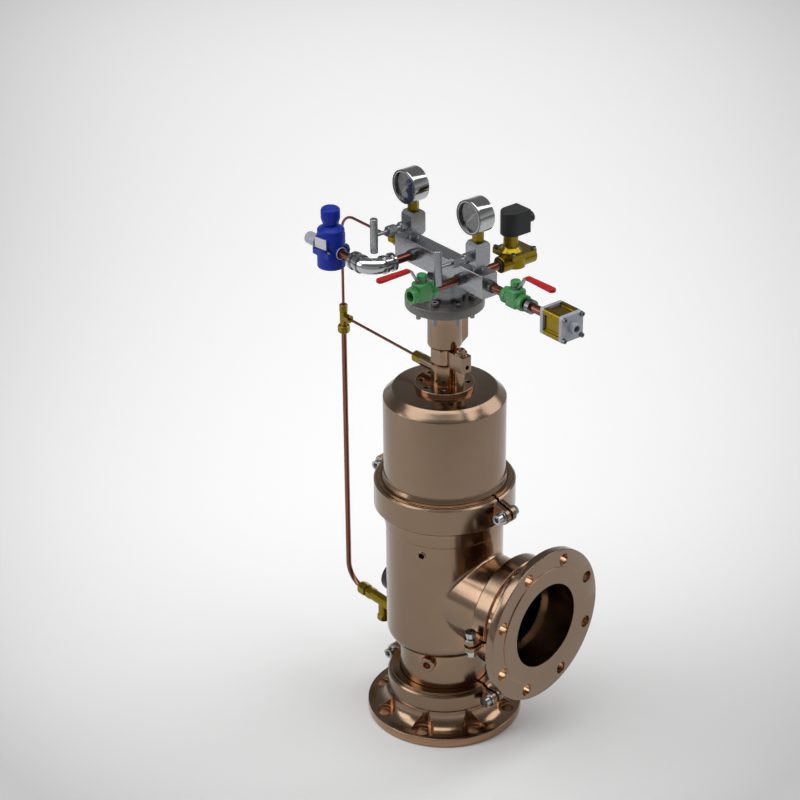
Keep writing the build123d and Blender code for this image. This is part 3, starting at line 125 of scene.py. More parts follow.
class ValveColours(bpy.types.PropertyGroup):
    bronze: bpy.props.FloatVectorProperty(
        name="Bronze", description="Cast bronze of the body, bonnet and flanges",
        subtype="COLOR", size=3, min=0, max=1, default=(0.188, 0.133, 0.093))
    bronze_deep: bpy.props.FloatVectorProperty(
        name="Bronze, deep", description="Browner tone in the bronze's mottling",
        subtype="COLOR", size=3, min=0, max=1, default=(0.172, 0.114, 0.074))
    # Painted reflection: the orange glow that bronze throws onto bronze, painted into its corners
    bronze_warm: bpy.props.FloatVectorProperty(
        name="Bronze, warm", description="Orange tone where bronze faces bronze in its corners",
        subtype="COLOR", size=3, min=0, max=1, default=(0.50, 0.28, 0.155))
    steel: bpy.props.FloatVectorProperty(
        name="Stainless steel", description="Manifold bar and gauge valves",
        subtype="COLOR", size=3, min=0, max=1, default=(0.262, 0.268, 0.280))
    grey_flange: bpy.props.FloatVectorProperty(
        name="Grey flange", description="Dark disc under the manifold",
        subtype="COLOR", size=3, min=0, max=1, default=(0.095, 0.091, 0.087))
    green: bpy.props.FloatVectorProperty(
        name="Green enamel", description="Ball valve bodies",
        subtype="COLOR", size=3, min=0, max=1, default=(0.030, 0.185, 0.046))
    red: bpy.props.FloatVectorProperty(
        name="Red grip", description="Dipped grips of the levers",
        subtype="COLOR", size=3, min=0, max=1, default=(0.30, 0.004, 0.006))
    blue: bpy.props.FloatVectorProperty(
        name="Blue enamel", description="Pressure regulator",
        subtype="COLOR", size=3, min=0, max=1, default=(0.004, 0.017, 0.23))
    brass: bpy.props.FloatVectorProperty(
        name="Brass", description="Tube fittings, solenoid valve and filter",
        subtype="COLOR", size=3, min=0, max=1, default=(0.21, 0.145, 0.010))
    copper: bpy.props.FloatVectorProperty(
        name="Copper", description="Copper tube and pipe",
        subtype="COLOR", size=3, min=0, max=1, default=(0.175, 0.066, 0.046))


class StudioSettings(bpy.types.PropertyGroup):
    key_power: bpy.props.FloatProperty(
        name="Key light", description="Power of the long soft box overhead",
        unit="POWER", min=0, default=112.0)
    side_power: bpy.props.FloatProperty(
        name="Side light", description="Power of the soft box at the right, behind the valve",
        unit="POWER", min=0, default=30.0)
    branch_power: bpy.props.FloatProperty(
        name="Left light", description="Power of the soft box at the left, which lights the branch",
        unit="POWER", min=0, default=20.0)
    sky_level: bpy.props.FloatProperty(
        name="Room light", description="Strength of the room's light overhead", min=0, max=2, default=0.26)
    horizon_level: bpy.props.FloatProperty(
        name="Horizon", description="Strength of the room's light at the horizon", min=0, max=2, default=0.70)
    floor_tone: bpy.props.FloatVectorProperty(
        name="Floor", description="Colour of the pale floor",
        subtype="COLOR", size=3, min=0, max=1, default=(0.88, 0.88, 0.88))
    # Painted shade: the lowest tone to which the camera sees the floor darkened, far from the painted pool of
    # light
    floor_edge: bpy.props.FloatProperty(
        name="Floor's edge", description="Lowest tone that the camera sees on the floor, far from the pool",
        subtype="FACTOR", min=0, max=1, default=0.50)


# Shader helpers

def group_shell(name, inputs, outputs):
    """A node group with the named sockets, and its input and output nodes."""
    group = bpy.data.node_groups.new(name, "ShaderNodeTree")
    for label, kind, value in inputs:
        socket = group.interface.new_socket(label, in_out="INPUT", socket_type=kind)
        if value is not None:
            socket.default_value = value
    for label, kind in outputs:
        group.interface.new_socket(label, in_out="OUTPUT", socket_type=kind)
    return group, group.nodes.new("NodeGroupInput"), group.nodes.new("NodeGroupOutput")


def noise(tree, vector, scale, detail=3.0):
    """Noise whose scale is a number or comes from a socket."""
    node = tree.nodes.new("ShaderNodeTexNoise")
    node.inputs["Detail"].default_value = detail
    node.inputs["Roughness"].default_value = NOISE_ROUGHNESS
    tree.links.new(vector, node.inputs["Vector"])
    if isinstance(scale, (int, float)):
        node.inputs["Scale"].default_value = scale
    else:
        tree.links.new(scale, node.inputs["Scale"])
    return node.outputs["Fac"]


def maths(tree, operation, a, b):
    """One sum of two numbers or sockets."""
    node = tree.nodes.new("ShaderNodeMath")
    node.operation = operation
    for slot, value in zip(node.inputs, (a, b)):
        if isinstance(value, (int, float)):
            slot.default_value = value
        else:
            tree.links.new(value, slot)
    return node.outputs[0]


def series(tree, value, terms):
    """Power series of a value, its terms given from the constant up."""
    total = terms[-1]
    for term in reversed(terms[:-1]):
        total = maths(tree, "ADD", maths(tree, "MULTIPLY", total, value), term)
    return total


def held(tree, value, low, high):
    """A value kept between two limits."""
    return maths(tree, "MINIMUM", maths(tree, "MAXIMUM", value, low), high)


def make_mottle_group():
    """Two tones and a roughness that wander over the surface."""
    group, given, made = group_shell(
        "mottle",
        [("Vector", "NodeSocketVector", None), ("Scale", "NodeSocketFloat", 20.0),
         ("Colour", "NodeSocketColor", None), ("Second colour", "NodeSocketColor", None),
         ("Amount", "NodeSocketFloat", 0.5), ("Roughness", "NodeSocketFloat", 0.3),
         ("Spread", "NodeSocketFloat", 0.1)],
        [("Colour", "NodeSocketColor"), ("Roughness", "NodeSocketFloat")])
    broad = noise(group, given.outputs["Vector"], given.outputs["Scale"], 4.0)
    fine_scale = maths(group, "MULTIPLY", given.outputs["Scale"], MOTTLE_FINE)
    fine = noise(group, given.outputs["Vector"], fine_scale)
    broad_part, fine_part = [maths(group, "MULTIPLY", wave, share)
                             for wave, share in zip((broad, fine), MOTTLE_SHARES)]
    both = maths(group, "ADD", broad_part, fine_part)
    share = maths(group, "MULTIPLY", maths(group, "SUBTRACT", both, MOTTLE_START), MOTTLE_GAIN)
    share = maths(group, "MULTIPLY", share, given.outputs["Amount"])
    mix = group.nodes.new("ShaderNodeMix")
    mix.data_type = "RGBA"
    mix.clamp_factor = True
    group.links.new(share, mix.inputs["Factor"])
    group.links.new(given.outputs["Colour"], mix.inputs[6])
    group.links.new(given.outputs["Second colour"], mix.inputs[7])
    group.links.new(mix.outputs[2], made.inputs["Colour"])
    shift = maths(group, "MULTIPLY", maths(group, "SUBTRACT", both, 0.5), given.outputs["Spread"])
    group.links.new(maths(group, "ADD", given.outputs["Roughness"], shift), made.inputs["Roughness"])
    return group


def make_grain_group():
    """Height of a cast or moulded skin: low swells with a fine grain over them."""
    group, given, made = group_shell(
        "grain",
        [("Vector", "NodeSocketVector", None), ("Scale", "NodeSocketFloat", 300.0),
         ("Swell", "NodeSocketFloat", 0.5)],
        [("Height", "NodeSocketFloat")])
    fine = noise(group, given.outputs["Vector"], given.outputs["Scale"])
    broad_scale = maths(group, "MULTIPLY", given.outputs["Scale"], SWELL_SCALE)
    broad = noise(group, given.outputs["Vector"], broad_scale, 2.0)
    total = maths(group, "ADD", fine, maths(group, "MULTIPLY", broad, given.outputs["Swell"]))
    group.links.new(total, made.inputs["Height"])
    return group


GROUPS = {}


def metal(name, colour, second, roughness, spread=0.10, amount=0.5, scale=18.0, metallic=1.0,
          grain=300.0, bump=0.0002, coat=0.0, stretch=(1, 1, 1), warm=None, shine=0.5):
    """Procedural material: mottled colour and roughness with a grain bump, in Object coordinates."""
    material = bpy.data.materials.new(name)
    material.use_nodes = True
    tree = material.node_tree
    shader = tree.nodes["Principled BSDF"]
    shader.inputs["Metallic"].default_value = metallic
    shader.inputs["Coat Weight"].default_value = coat
    shader.inputs["Coat Roughness"].default_value = COAT_ROUGHNESS
    shader.inputs["Specular IOR Level"].default_value = shine
    coords = tree.nodes.new("ShaderNodeTexCoord")
    mapping = tree.nodes.new("ShaderNodeMapping")
    mapping.inputs["Scale"].default_value = stretch
    tree.links.new(coords.outputs["Object"], mapping.inputs["Vector"])
    mottle = tree.nodes.new("ShaderNodeGroup")
    mottle.node_tree = GROUPS["mottle"]
    for key, value in (("Scale", scale), ("Amount", amount), ("Roughness", roughness), ("Spread", spread)):
        mottle.inputs[key].default_value = value
    mottle.inputs["Colour"].default_value = (*colour, 1)
    mottle.inputs["Second colour"].default_value = (*second, 1)
    tree.links.new(mapping.outputs[0], mottle.inputs["Vector"])
    skin_colour = mottle.outputs["Colour"]
    # Painted reflection: the bronzes are made warmer and brighter in their corners
    if warm:
        skin_colour = warm_corners(tree, skin_colour, warm)
    tree.links.new(skin_colour, shader.inputs["Base Color"])
    tree.links.new(mottle.outputs["Roughness"], shader.inputs["Roughness"])
    skin = tree.nodes.new("ShaderNodeGroup")
    skin.node_tree = GROUPS["grain"]
    skin.inputs["Scale"].default_value = grain
    tree.links.new(mapping.outputs[0], skin.inputs["Vector"])
    bump_node = tree.nodes.new("ShaderNodeBump")
    bump_node.inputs["Distance"].default_value = bump
    bump_node.inputs["Strength"].default_value = BUMP_STRENGTH
    tree.links.new(skin.outputs["Height"], bump_node.inputs["Height"])
    if warm:
        worn_edges = tree.nodes.new("ShaderNodeBevel")
        worn_edges.samples = WORN_SAMPLES
        worn_edges.inputs["Radius"].default_value = WORN_EDGE
        tree.links.new(worn_edges.outputs["Normal"], bump_node.inputs["Normal"])
    tree.links.new(bump_node.outputs["Normal"], shader.inputs["Normal"])
    return material


def warm_corners(tree, colour, warm):
    """Painted reflection: a warmer, brighter tone in the corners, standing in for the light that bronze
    throws onto bronze where the open room doesn't reach.
    """
    shelter = tree.nodes.new("ShaderNodeAmbientOcclusion")
    shelter.samples = CORNER_SAMPLES
    shelter.inputs["Distance"].default_value = CORNER_REACH
    depth = maths(tree, "SUBTRACT", 1.0 - CORNER_START, shelter.outputs["AO"])
    mix = tree.nodes.new("ShaderNodeMix")
    mix.data_type = "RGBA"
    tree.links.new(held(tree, maths(tree, "MULTIPLY", depth, CORNER_GAIN), 0.0, 1.0), mix.inputs["Factor"])
    tree.links.new(colour, mix.inputs[6])
    mix.inputs[7].default_value = (*warm, 1)
    return mix.outputs[2]


def tint(colour, factor):
    """The colour lightened or darkened."""
    return tuple(min(1.0, c * factor) for c in colour)


def smoothing_group():
    """Modifier that shades a mesh smooth, apart from its hard edges."""
    group = bpy.data.node_groups.new("smooth_by_edge", "GeometryNodeTree")
    group.interface.new_socket("Geometry", in_out="INPUT", socket_type="NodeSocketGeometry")
    group.interface.new_socket("Geometry", in_out="OUTPUT", socket_type="NodeSocketGeometry")
    given = group.nodes.new("NodeGroupInput")
    made = group.nodes.new("NodeGroupOutput")
    angle = group.nodes.new("GeometryNodeInputMeshEdgeAngle")
    test = group.nodes.new("FunctionNodeCompare")
    test.operation = "LESS_EQUAL"
    test.inputs[1].default_value = SOLID_ANGLE
    faces = group.nodes.new("GeometryNodeSetShadeSmooth")
    edges = group.nodes.new("GeometryNodeSetShadeSmooth")
    edges.domain = "EDGE"
    group.links.new(given.outputs[0], faces.inputs["Geometry"])
    group.links.new(faces.outputs[0], edges.inputs["Geometry"])
    group.links.new(angle.outputs["Unsigned Angle"], test.inputs[0])
    group.links.new(test.outputs[0], edges.inputs["Shade Smooth"])
    group.links.new(edges.outputs[0], made.inputs[0])
    return group


def smooth_solid(obj):
    """Joins a solid's loose triangles and shades its curves smooth, leaving its points where they are."""
    weld = obj.modifiers.new("weld", "WELD")
    weld.merge_threshold = WELD_DISTANCE
    smooth = obj.modifiers.new("smooth", "NODES")
    smooth.node_group = GROUPS["smooth"]


def make_materials():
    """The shared groups, and every material by its slot's name."""
    GROUPS["mottle"] = make_mottle_group()
    GROUPS["grain"] = make_grain_group()
    GROUPS["smooth"] = smoothing_group()
    colours = bpy.context.scene.valve_colours
    bronze = tuple(colours.bronze)
    deep = tuple(colours.bronze_deep)
    warm = tuple(colours.bronze_warm)
    steel = tuple(colours.steel)
    brass = tuple(colours.brass)
    copper = tuple(colours.copper)
    green = tuple(colours.green)
    blue = tuple(colours.blue)
    red = tuple(colours.red)
    grey = tuple(colours.grey_flange)
    return {
        # Both bronzes get the painted corner glow
        "bronze": metal("cast_bronze", bronze, deep, 0.19, 0.06, 0.5, 16, bump=0.00012, warm=warm),
        "machined_bronze": metal("turned_bronze", tint(bronze, 1.03), deep, 0.17, 0.06, 0.4, 24, bump=0.00006,
                                 stretch=(1, 1, 8), warm=warm),
        "stainless": metal("satin_stainless", steel, tint(steel, 0.8), 0.28, 0.1, 0.5, 30, bump=0.0001,
                           stretch=(1, 1, 10)),
        "grey_flange": metal("grey_flange", grey, tint(grey, 1.5), 0.36, 0.1, 0.5, 30, metallic=0.6),
        "chrome": metal("polished_chrome", (0.36, 0.365, 0.37), (0.33, 0.335, 0.34), 0.09, 0.05, 0.3, 20,
                        bump=0.00002),
        "zinc_steel": metal("plated_steel", (0.17, 0.17, 0.175), (0.13, 0.127, 0.123), 0.28, 0.12, 0.6, 60),
        "green_enamel": metal("green_enamel", green, tint(green, 0.7), 0.34, 0.1, 0.6, 90, metallic=0.0,
                              coat=0.12, bump=0.0004, shine=0.35),
        "red_grip": metal("red_grip", red, tint(red, 0.8), 0.34, 0.08, 0.4, 40, metallic=0.0, coat=0.03,
                          bump=0.0001, shine=0.15),
        "blue_enamel": metal("blue_enamel", blue, tint(blue, 0.7), 0.38, 0.08, 0.5, 40, metallic=0.0,
                             coat=0.04, bump=0.0002, shine=0.14),
        "brass": metal("machined_brass", brass, tint(brass, 0.7), 0.26, 0.1, 0.5, 40, bump=0.0001),
        "copper": metal("drawn_copper", copper, tint(copper, 0.75), 0.24, 0.1, 0.5, 60, bump=0.0001),
        "black_plastic": metal("black_moulding", (0.009, 0.0095, 0.0105), (0.013, 0.013, 0.014), 0.42, 0.1,
                               0.5, 60, metallic=0.0, bump=0.0003, grain=900, shine=0.25),
        "grey_plastic": metal("grey_moulding", (0.27, 0.28, 0.32), (0.23, 0.24, 0.28), 0.35, 0.1, 0.5, 60,
                              metallic=0.2, bump=0.0002),
        "dial_face": metal("dial_face", (0.012, 0.012, 0.016), (0.02, 0.02, 0.026), 0.4, 0.05, 0.4, 60,
                           metallic=0.0),
        "pointer_white": metal("pointer_white", (0.8, 0.8, 0.8), (0.72, 0.72, 0.72), 0.4, 0.05, 0.4, 60,
                               metallic=0.0),
        "seal_rubber": metal("seal_rubber", (0.012, 0.012, 0.012), (0.02, 0.02, 0.02), 0.6, 0.1, 0.5, 60,
                             metallic=0.0, bump=0.0003),
        "pipe_ring": metal("pipe_ring", (0.010, 0.008, 0.008), (0.018, 0.014, 0.013), 0.45, 0.1, 0.5, 60,
                           metallic=0.0, bump=0.0002),
        "split_line": metal("split_line", (0.004, 0.006, 0.05), (0.006, 0.008, 0.04), 0.5, 0.1, 0.5, 60,
                            metallic=0.0),
        "plate_grey": metal("plate_grey", (0.45, 0.45, 0.47), (0.36, 0.36, 0.38), 0.42, 0.1, 0.6, 80,
                            metallic=0.3, bump=0.0001, stretch=(1, 1, 12)),
        "dial_mark": metal("dial_mark", (0.30, 0.30, 0.33), (0.24, 0.24, 0.27), 0.5, 0.05, 0.4, 60,
                           metallic=0.0),
        "dark_chrome": metal("dark_chrome", (0.10, 0.10, 0.105), (0.07, 0.07, 0.075), 0.15, 0.05, 0.4, 40,
                             bump=0.00003),
        # Painted shade: near black, so that the pilot base's screws read as dark open holes
        "screw_hole_shade": metal("screw_hole_shade", (0.016, 0.012, 0.010), (0.03, 0.024, 0.02), 0.4, 0.1, 0.5, 60,
                             metallic=0.6),
        "bright_bolt": metal("bright_bolt", (0.34, 0.34, 0.345), (0.26, 0.26, 0.265), 0.14, 0.08, 0.5, 60,
                             bump=0.00005),
        "spring_steel": metal("spring_steel", (0.3, 0.3, 0.31), (0.22, 0.22, 0.23), 0.35, 0.1, 0.5, 60),
        "pointer_grey": metal("pointer_grey", (0.20, 0.20, 0.21), (0.16, 0.16, 0.17), 0.4, 0.05, 0.4, 60,
                              metallic=0.0, bump=0.0001),
        "gauge_glass": make_glass(),
    }


def make_glass():
    """Clear glass with a faint smear in its gloss."""
    glass = bpy.data.materials.new("gauge_glass")
    glass.use_nodes = True
    tree = glass.node_tree
    shader = tree.nodes["Principled BSDF"]
    shader.inputs["Base Color"].default_value = (1, 1, 1, 1)
    shader.inputs["Transmission Weight"].default_value = 1.0
    shader.inputs["IOR"].default_value = GLASS_IOR
    coords = tree.nodes.new("ShaderNodeTexCoord")
    smear = noise(tree, coords.outputs["Object"], SMEAR_SCALE)
    tree.links.new(maths(tree, "MULTIPLY", smear, SMEAR_ROUGHNESS), shader.inputs["Roughness"])
    return glass


MATERIALS = {}
# Nodes whose look differs from the rest of their slot
# The pilot base's screws are near black: painted shade, so that they read as open holes
OWN_FINISH = {"pilot_base_screws": "screw_hole_shade", "clamp_bolts": "bright_bolt",
              "left_gauge_pointer": "pointer_grey", "right_gauge_pointer": "pointer_grey"}


class DELUGE_OT_finish_solids(bpy.types.Operator):
    """Give every solid of the valve its finish and smooth shading"""
    bl_idname = "deluge.finish_solids"
    bl_label = "Finish the solids"

    def execute(self, context):
        MATERIALS.update(make_materials())
        for part in frame["record"]["subparts"]:
            obj = frame["nodes"][part["node"]]
            obj.data.materials.clear()
            finish = OWN_FINISH.get(part["node"], part["material_slot"])
            obj.data.materials.append(MATERIALS[finish])
            smooth_solid(obj)
        return {"FINISHED"}


# Modelling helpers

def at(u, v, z, turn=TRIM):
    """Where a piece of the trim goes: along the manifold, across it and up, and its turn."""
    return Matrix.Translation(TRIM @ Vector((u, v, z))) @ turn


def fresh():
    """Leave nothing selected."""
    bpy.ops.object.select_all(action="DESELECT")


def use(obj, kind, **settings):
    """Give the object a modifier with these settings, and apply it."""
    bpy.context.view_layer.objects.active = obj
    modifier = obj.modifiers.new(kind.lower(), kind)
    for key, value in settings.items():
        setattr(modifier, key, value)
    bpy.ops.object.modifier_apply(modifier=modifier.name)


def cylinder(radius, length, place=(0, 0, 0), turn=(0, 0, 0), vertices=64, ends="NGON"):
    """A cylinder at its size and place, to be shaped further."""
    fresh()
    bpy.ops.mesh.primitive_cylinder_add(vertices=vertices, radius=radius, depth=length, end_fill_type=ends,
                                        location=place, rotation=turn)
    return bpy.context.object


def block(size, place=(0, 0, 0)):
    """A block at its size and place, to be shaped further."""
    fresh()
    bpy.ops.mesh.primitive_cube_add(size=1, location=place)
    cube = bpy.context.object
    cube.scale = size
    bpy.ops.object.transform_apply(location=True, rotation=True, scale=True)
    return cube


def rounded(obj, width, segments):
    """Round the object's edges."""
    use(obj, "BEVEL", width=width, segments=segments, limit_method="ANGLE")


def band(radius, wall, width, edge):
    """A ring about Z with rounded edges: its outside radius, wall and width."""
    ring = cylinder(radius, width, ends="NOTHING")
    use(ring, "SOLIDIFY", thickness=wall, offset=-1)
    rounded(ring, edge, 2)
    return ring


def carve(body, tool, operation):
    """Add the tool to the body or cut it away."""
    use(body, "BOOLEAN", object=tool, operation=operation, solver="EXACT")
    bpy.data.objects.remove(tool)


def place_mesh(obj, place):
    """Move the object's points to the place, and leave the object itself at the origin."""
    obj.data.transform(place @ obj.matrix_basis)
    obj.matrix_basis = Matrix()


def copy_of(obj):
    """The object once more, with a mesh of its own."""
    twin = obj.copy()
    twin.data = obj.data.copy()
    bpy.context.collection.objects.link(twin)
    return twin


def copies(model, places):
    """The model at each of the places. The model itself is removed."""
    made = []
    for place in places:
        twin = copy_of(model)
        place_mesh(twin, place)
        made.append(twin)
    bpy.data.objects.remove(model)
    return made


def join_parts(parts):
    """One object from the parts, with its place in its mesh."""
    fresh()
    for part in parts:
        part.select_set(True)
    bpy.context.view_layer.objects.active = parts[0]
    if len(parts) > 1:
        bpy.ops.object.join()
    bpy.ops.object.transform_apply(location=True, rotation=True, scale=True)
    return bpy.context.object


def finish_piece(parts, name, material, body):
    """Join the parts to one piece with this material, and let it ride on its body."""
    piece = join_parts(parts)
    bpy.ops.object.shade_smooth_by_angle(angle=PIECE_ANGLE)
    piece.name = name
    piece.data.name = name
    piece.data.materials.clear()
    piece.data.materials.append(MATERIALS[material])
    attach(piece, body)
    return piece


# Pieces

class DELUGE_OT_pipe_rings(bpy.types.Operator):
    """Dark rings round the copper pipes where they enter the manifold and the solenoid valve"""
    bl_idname = "deluge.pipe_rings"
    bl_label = "Pipe rings"

    def execute(self, context):
        places = [at(*spot, PORT_HEIGHT, ACROSS) for spot in FRONT_ENTRIES]
        places += [at(*END_ENTRY, PORT_HEIGHT, ALONG), at(*SOLENOID_ENTRY, PORT_HEIGHT, ACROSS)]
        rings = copies(band(*PIPE_RING), places)
        finish_piece(rings, "pipe_rings", "pipe_ring", "valve_body")
        return {"FINISHED"}


class DELUGE_OT_valve_shells(bpy.types.Operator):
    """Cast bodies of the two ball valves: a square middle with a round, faceted end each side"""
    bl_idname = "deluge.valve_shells"
    bl_label = "Ball valve bodies"

    def execute(self, context):
        lying = (0, QUARTER, 0)
        shell = cylinder(SHELL_RADIUS, SHELL_LENGTH, turn=lying)
        middle = block(MIDDLE_SIZE, (0, 0, MIDDLE_RISE))
        rounded(middle, MIDDLE_EDGE, 4)
        carve(shell, middle, "UNION")
        for side in (-1, 1):
            end = cylinder(END_RADIUS, END_LENGTH, (side * END_REACH, 0, 0), lying, vertices=8)
            rounded(end, END_EDGE, 3)
            carve(shell, end, "UNION")
        collar = cylinder(COLLAR_RADIUS, COLLAR_HEIGHT, (0, 0, COLLAR_RISE), vertices=48)
        carve(shell, collar, "UNION")
        carve(shell, cylinder(SHELL_BORE, BORE_LENGTH, turn=lying), "DIFFERENCE")
        to_front = TRIM @ Matrix.Rotation(-QUARTER, 4, "Z")
        shells = copies(shell, [at(*DRAIN_SPOT, PORT_HEIGHT, to_front), at(*TEST_SPOT, PORT_HEIGHT)])
        piece = finish_piece(shells, "ball_valve_shells", "green_enamel", "valve_body")
        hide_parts("ball_valve_bodies")
        return {"FINISHED"}


class DELUGE_OT_lever_caps(bpy.types.Operator):
    """Painted caps over the nuts that hold the levers"""
    bl_idname = "deluge.lever_caps"
    bl_label = "Lever caps"

    def execute(self, context):
        for name, spot in (("drain", DRAIN_SPOT), ("test", TEST_SPOT)):
            cap = cylinder(CAP_RADIUS, CAP_HEIGHT, (0, 0, CAP_HEIGHT / 2), vertices=48)
            rounded(cap, CAP_EDGE, 5)
            caps = copies(cap, [at(*spot, PORT_HEIGHT + CAP_RISE)])
            finish_piece(caps, name + "_lever_cap", "green_enamel", name + "_lever")
        return {"FINISHED"}


class DELUGE_OT_regulator_plate(bpy.types.Operator):
    """Bare plate on its pad on the regulator, held by four rivets"""
    bl_idname = "deluge.regulator_plate"
    bl_label = "Regulator plate"

    def execute(self, context):
        face = at(*REGULATOR_SPOT, PLATE_HEIGHT, UPRIGHT)
        pad = block(PAD_SIZE, (0, 0, PAD_OUT))
        rounded(pad, PAD_EDGE, 4)
        finish_piece(copies(pad, [face]), "regulator_pad", "blue_enamel", "valve_body")
        plate = block(PLATE_SIZE, (0, 0, PLATE_OUT))
        rounded(plate, PLATE_EDGE, 2)
        rivet = cylinder(RIVET_SIZE, RIVET_SIZE, (0, 0, RIVET_OUT), vertices=24)
        rounded(rivet, RIVET_EDGE, 3)
        corners = [Matrix.Translation((x, y, 0)) for x in (-RIVET_X, RIVET_X) for y in (-RIVET_Y, RIVET_Y)]
        parts = [plate, *copies(rivet, corners)]
        for part in parts:
            place_mesh(part, face)
        finish_piece(parts, "regulator_plate", "plate_grey", "valve_body")
        return {"FINISHED"}


class DELUGE_OT_port_rims(bpy.types.Operator):
    """Bare machined rims of the regulator's ports, each with a near-black ring inside as painted shade of its
    opening, and the dark line round its split
    """
    bl_idname = "deluge.port_rims"
    bl_label = "Regulator's rims"

    def execute(self, context):
        along, across = REGULATOR_SPOT
        sides = [at(along + reach, across, PORT_HEIGHT, ALONG) for reach in (-RIM_REACH, RIM_REACH)]
        rims = copies(band(*PORT_RIM), sides)
        finish_piece(rims, "regulator_port_rims", "plate_grey", "valve_body")
        # Painted shade: near-black rings inside the rims stand for the dark of the ports' openings
        shade_rings = copies(band(*PORT_SHADE_RING), sides)
        finish_piece(shade_rings, "regulator_port_shade_rings", "pipe_ring", "valve_body")
        split = copies(band(*SPLIT_LINE), [at(*REGULATOR_SPOT, SPLIT_HEIGHT)])
        finish_piece(split, "regulator_split_line", "split_line", "valve_body")
        return {"FINISHED"}


class DELUGE_OT_gauge_faces(bpy.types.Operator):
    """Scale marks and numbers on the dials, and the dark lip of each gauge's front"""
    bl_idname = "deluge.gauge_faces"
    bl_label = "Gauge faces"

    def execute(self, context):
        marks = []
        for step in range(DIAL_STEPS):
            numbered = step % DIAL_GROUP == 0
            size = LONG_MARK if numbered else SHORT_MARK
            tick = block(size, (0, MARK_RADIUS - size[1] / 2, 0))
            rounded(tick, MARK_EDGE, 1)
            turn = Matrix.Rotation(math.radians(DIAL_START - step * DIAL_STEP), 4, "Z")
            marks.extend(copies(tick, [turn]))
            if numbered:
                marks.append(dial_number(step, turn @ Vector((0, NUMBER_RADIUS, 0))))
        scale = join_parts(marks)
        for name, along in GAUGES_ALONG.items():
            dial = copies(copy_of(scale), [at(along, GAUGE_DIAL_ACROSS, GAUGE_HEIGHT, ACROSS)])
            finish_piece(dial, name + "_dial_marks", "dial_mark", "valve_body")
            lip = copies(band(*GAUGE_LIP), [at(along, GAUGE_LIP_ACROSS, GAUGE_HEIGHT, ACROSS)])
            finish_piece(lip, name + "_gauge_lip", "dark_chrome", "valve_body")
        bpy.data.objects.remove(scale)
        return {"FINISHED"}


def dial_number(value, place):
    """A plain number of the scale, as a mesh."""
    fresh()
    bpy.ops.object.text_add(location=(0, 0, 0))
    text = bpy.context.object
    text.data.body = str(value)
    text.data.size = NUMBER_SIZE
    text.data.align_x = "CENTER"
    text.data.align_y = "CENTER"
    text.data.extrude = NUMBER_DEPTH
    bpy.ops.object.convert(target="MESH")
    number = bpy.context.object
    number.data.transform(Matrix.Translation(place))
    return number


# Camera and studio

CAMERA_PLACE = (2.442706, -2.713138, 2.560584)
CAMERA_TURN = (90 - 27.8856, 0, 42.062)
CAMERA_LENS = 108.45
CAMERA_SENSOR = 36
CAMERA_SHIFT = -0.0529
CAMERA_END = 100
KEY_PLACE, KEY_SIZE = (0.112, -0.572, 3.2), (5.6, 1.8)
SIDE_PLACE, SIDE_SIZE = (1.24, 2.41, 2.34), (1.8, 1.8)
LEFT_PLACE, LEFT_SIZE, LEFT_TARGET = (-1.56, -1.97, 1.5), (1.2, 1.3), (0.12, -0.07, 0.3)
VALVE_MIDDLE = (0.05, 0, 0.5)
FLOOR_SIZE = 60

# Floor's tone: a painted pool of light with painted shade round it. How wide and how high the pool stands at
# a distance, then its tone to each side, its tone upwards, and what the lamps alone give, each as a power
# series
POOL_NEAR, POOL_FAR = -1.0, 30.0
POOL_WIDTH = (4.425, 0.884)
POOL_HEIGHT = (-0.555, 0.468)
POOL_LOW, POOL_HIGH = -0.30, 0.165
POOL_SIDE = (0.962, -0.308, -6.738, 0, -29.936)
POOL_RISE = (0, 0.127, -10.191, 4.368, 25.86)
LIT_AWAY = (0.979, 0.011, -0.1183, 0.019)
LIT_FAR = 4.0

# Height in the sky at which the room's light starts to fall, and where it has fallen
SKY_START, SKY_END = 0.03, 0.40


def area_light(name, place, target, size, power):
    """A soft box that faces the target."""
    lamp = bpy.data.lights.new(name, "AREA")
    lamp.shape = "RECTANGLE"
    lamp.size, lamp.size_y = size
    lamp.energy = power
    obj = bpy.data.objects.new(name, lamp)
    bpy.context.collection.objects.link(obj)
    obj.location = place
    obj.rotation_euler = (Vector(target) - Vector(place)).to_track_quat("-Z", "Y").to_euler()
    return obj


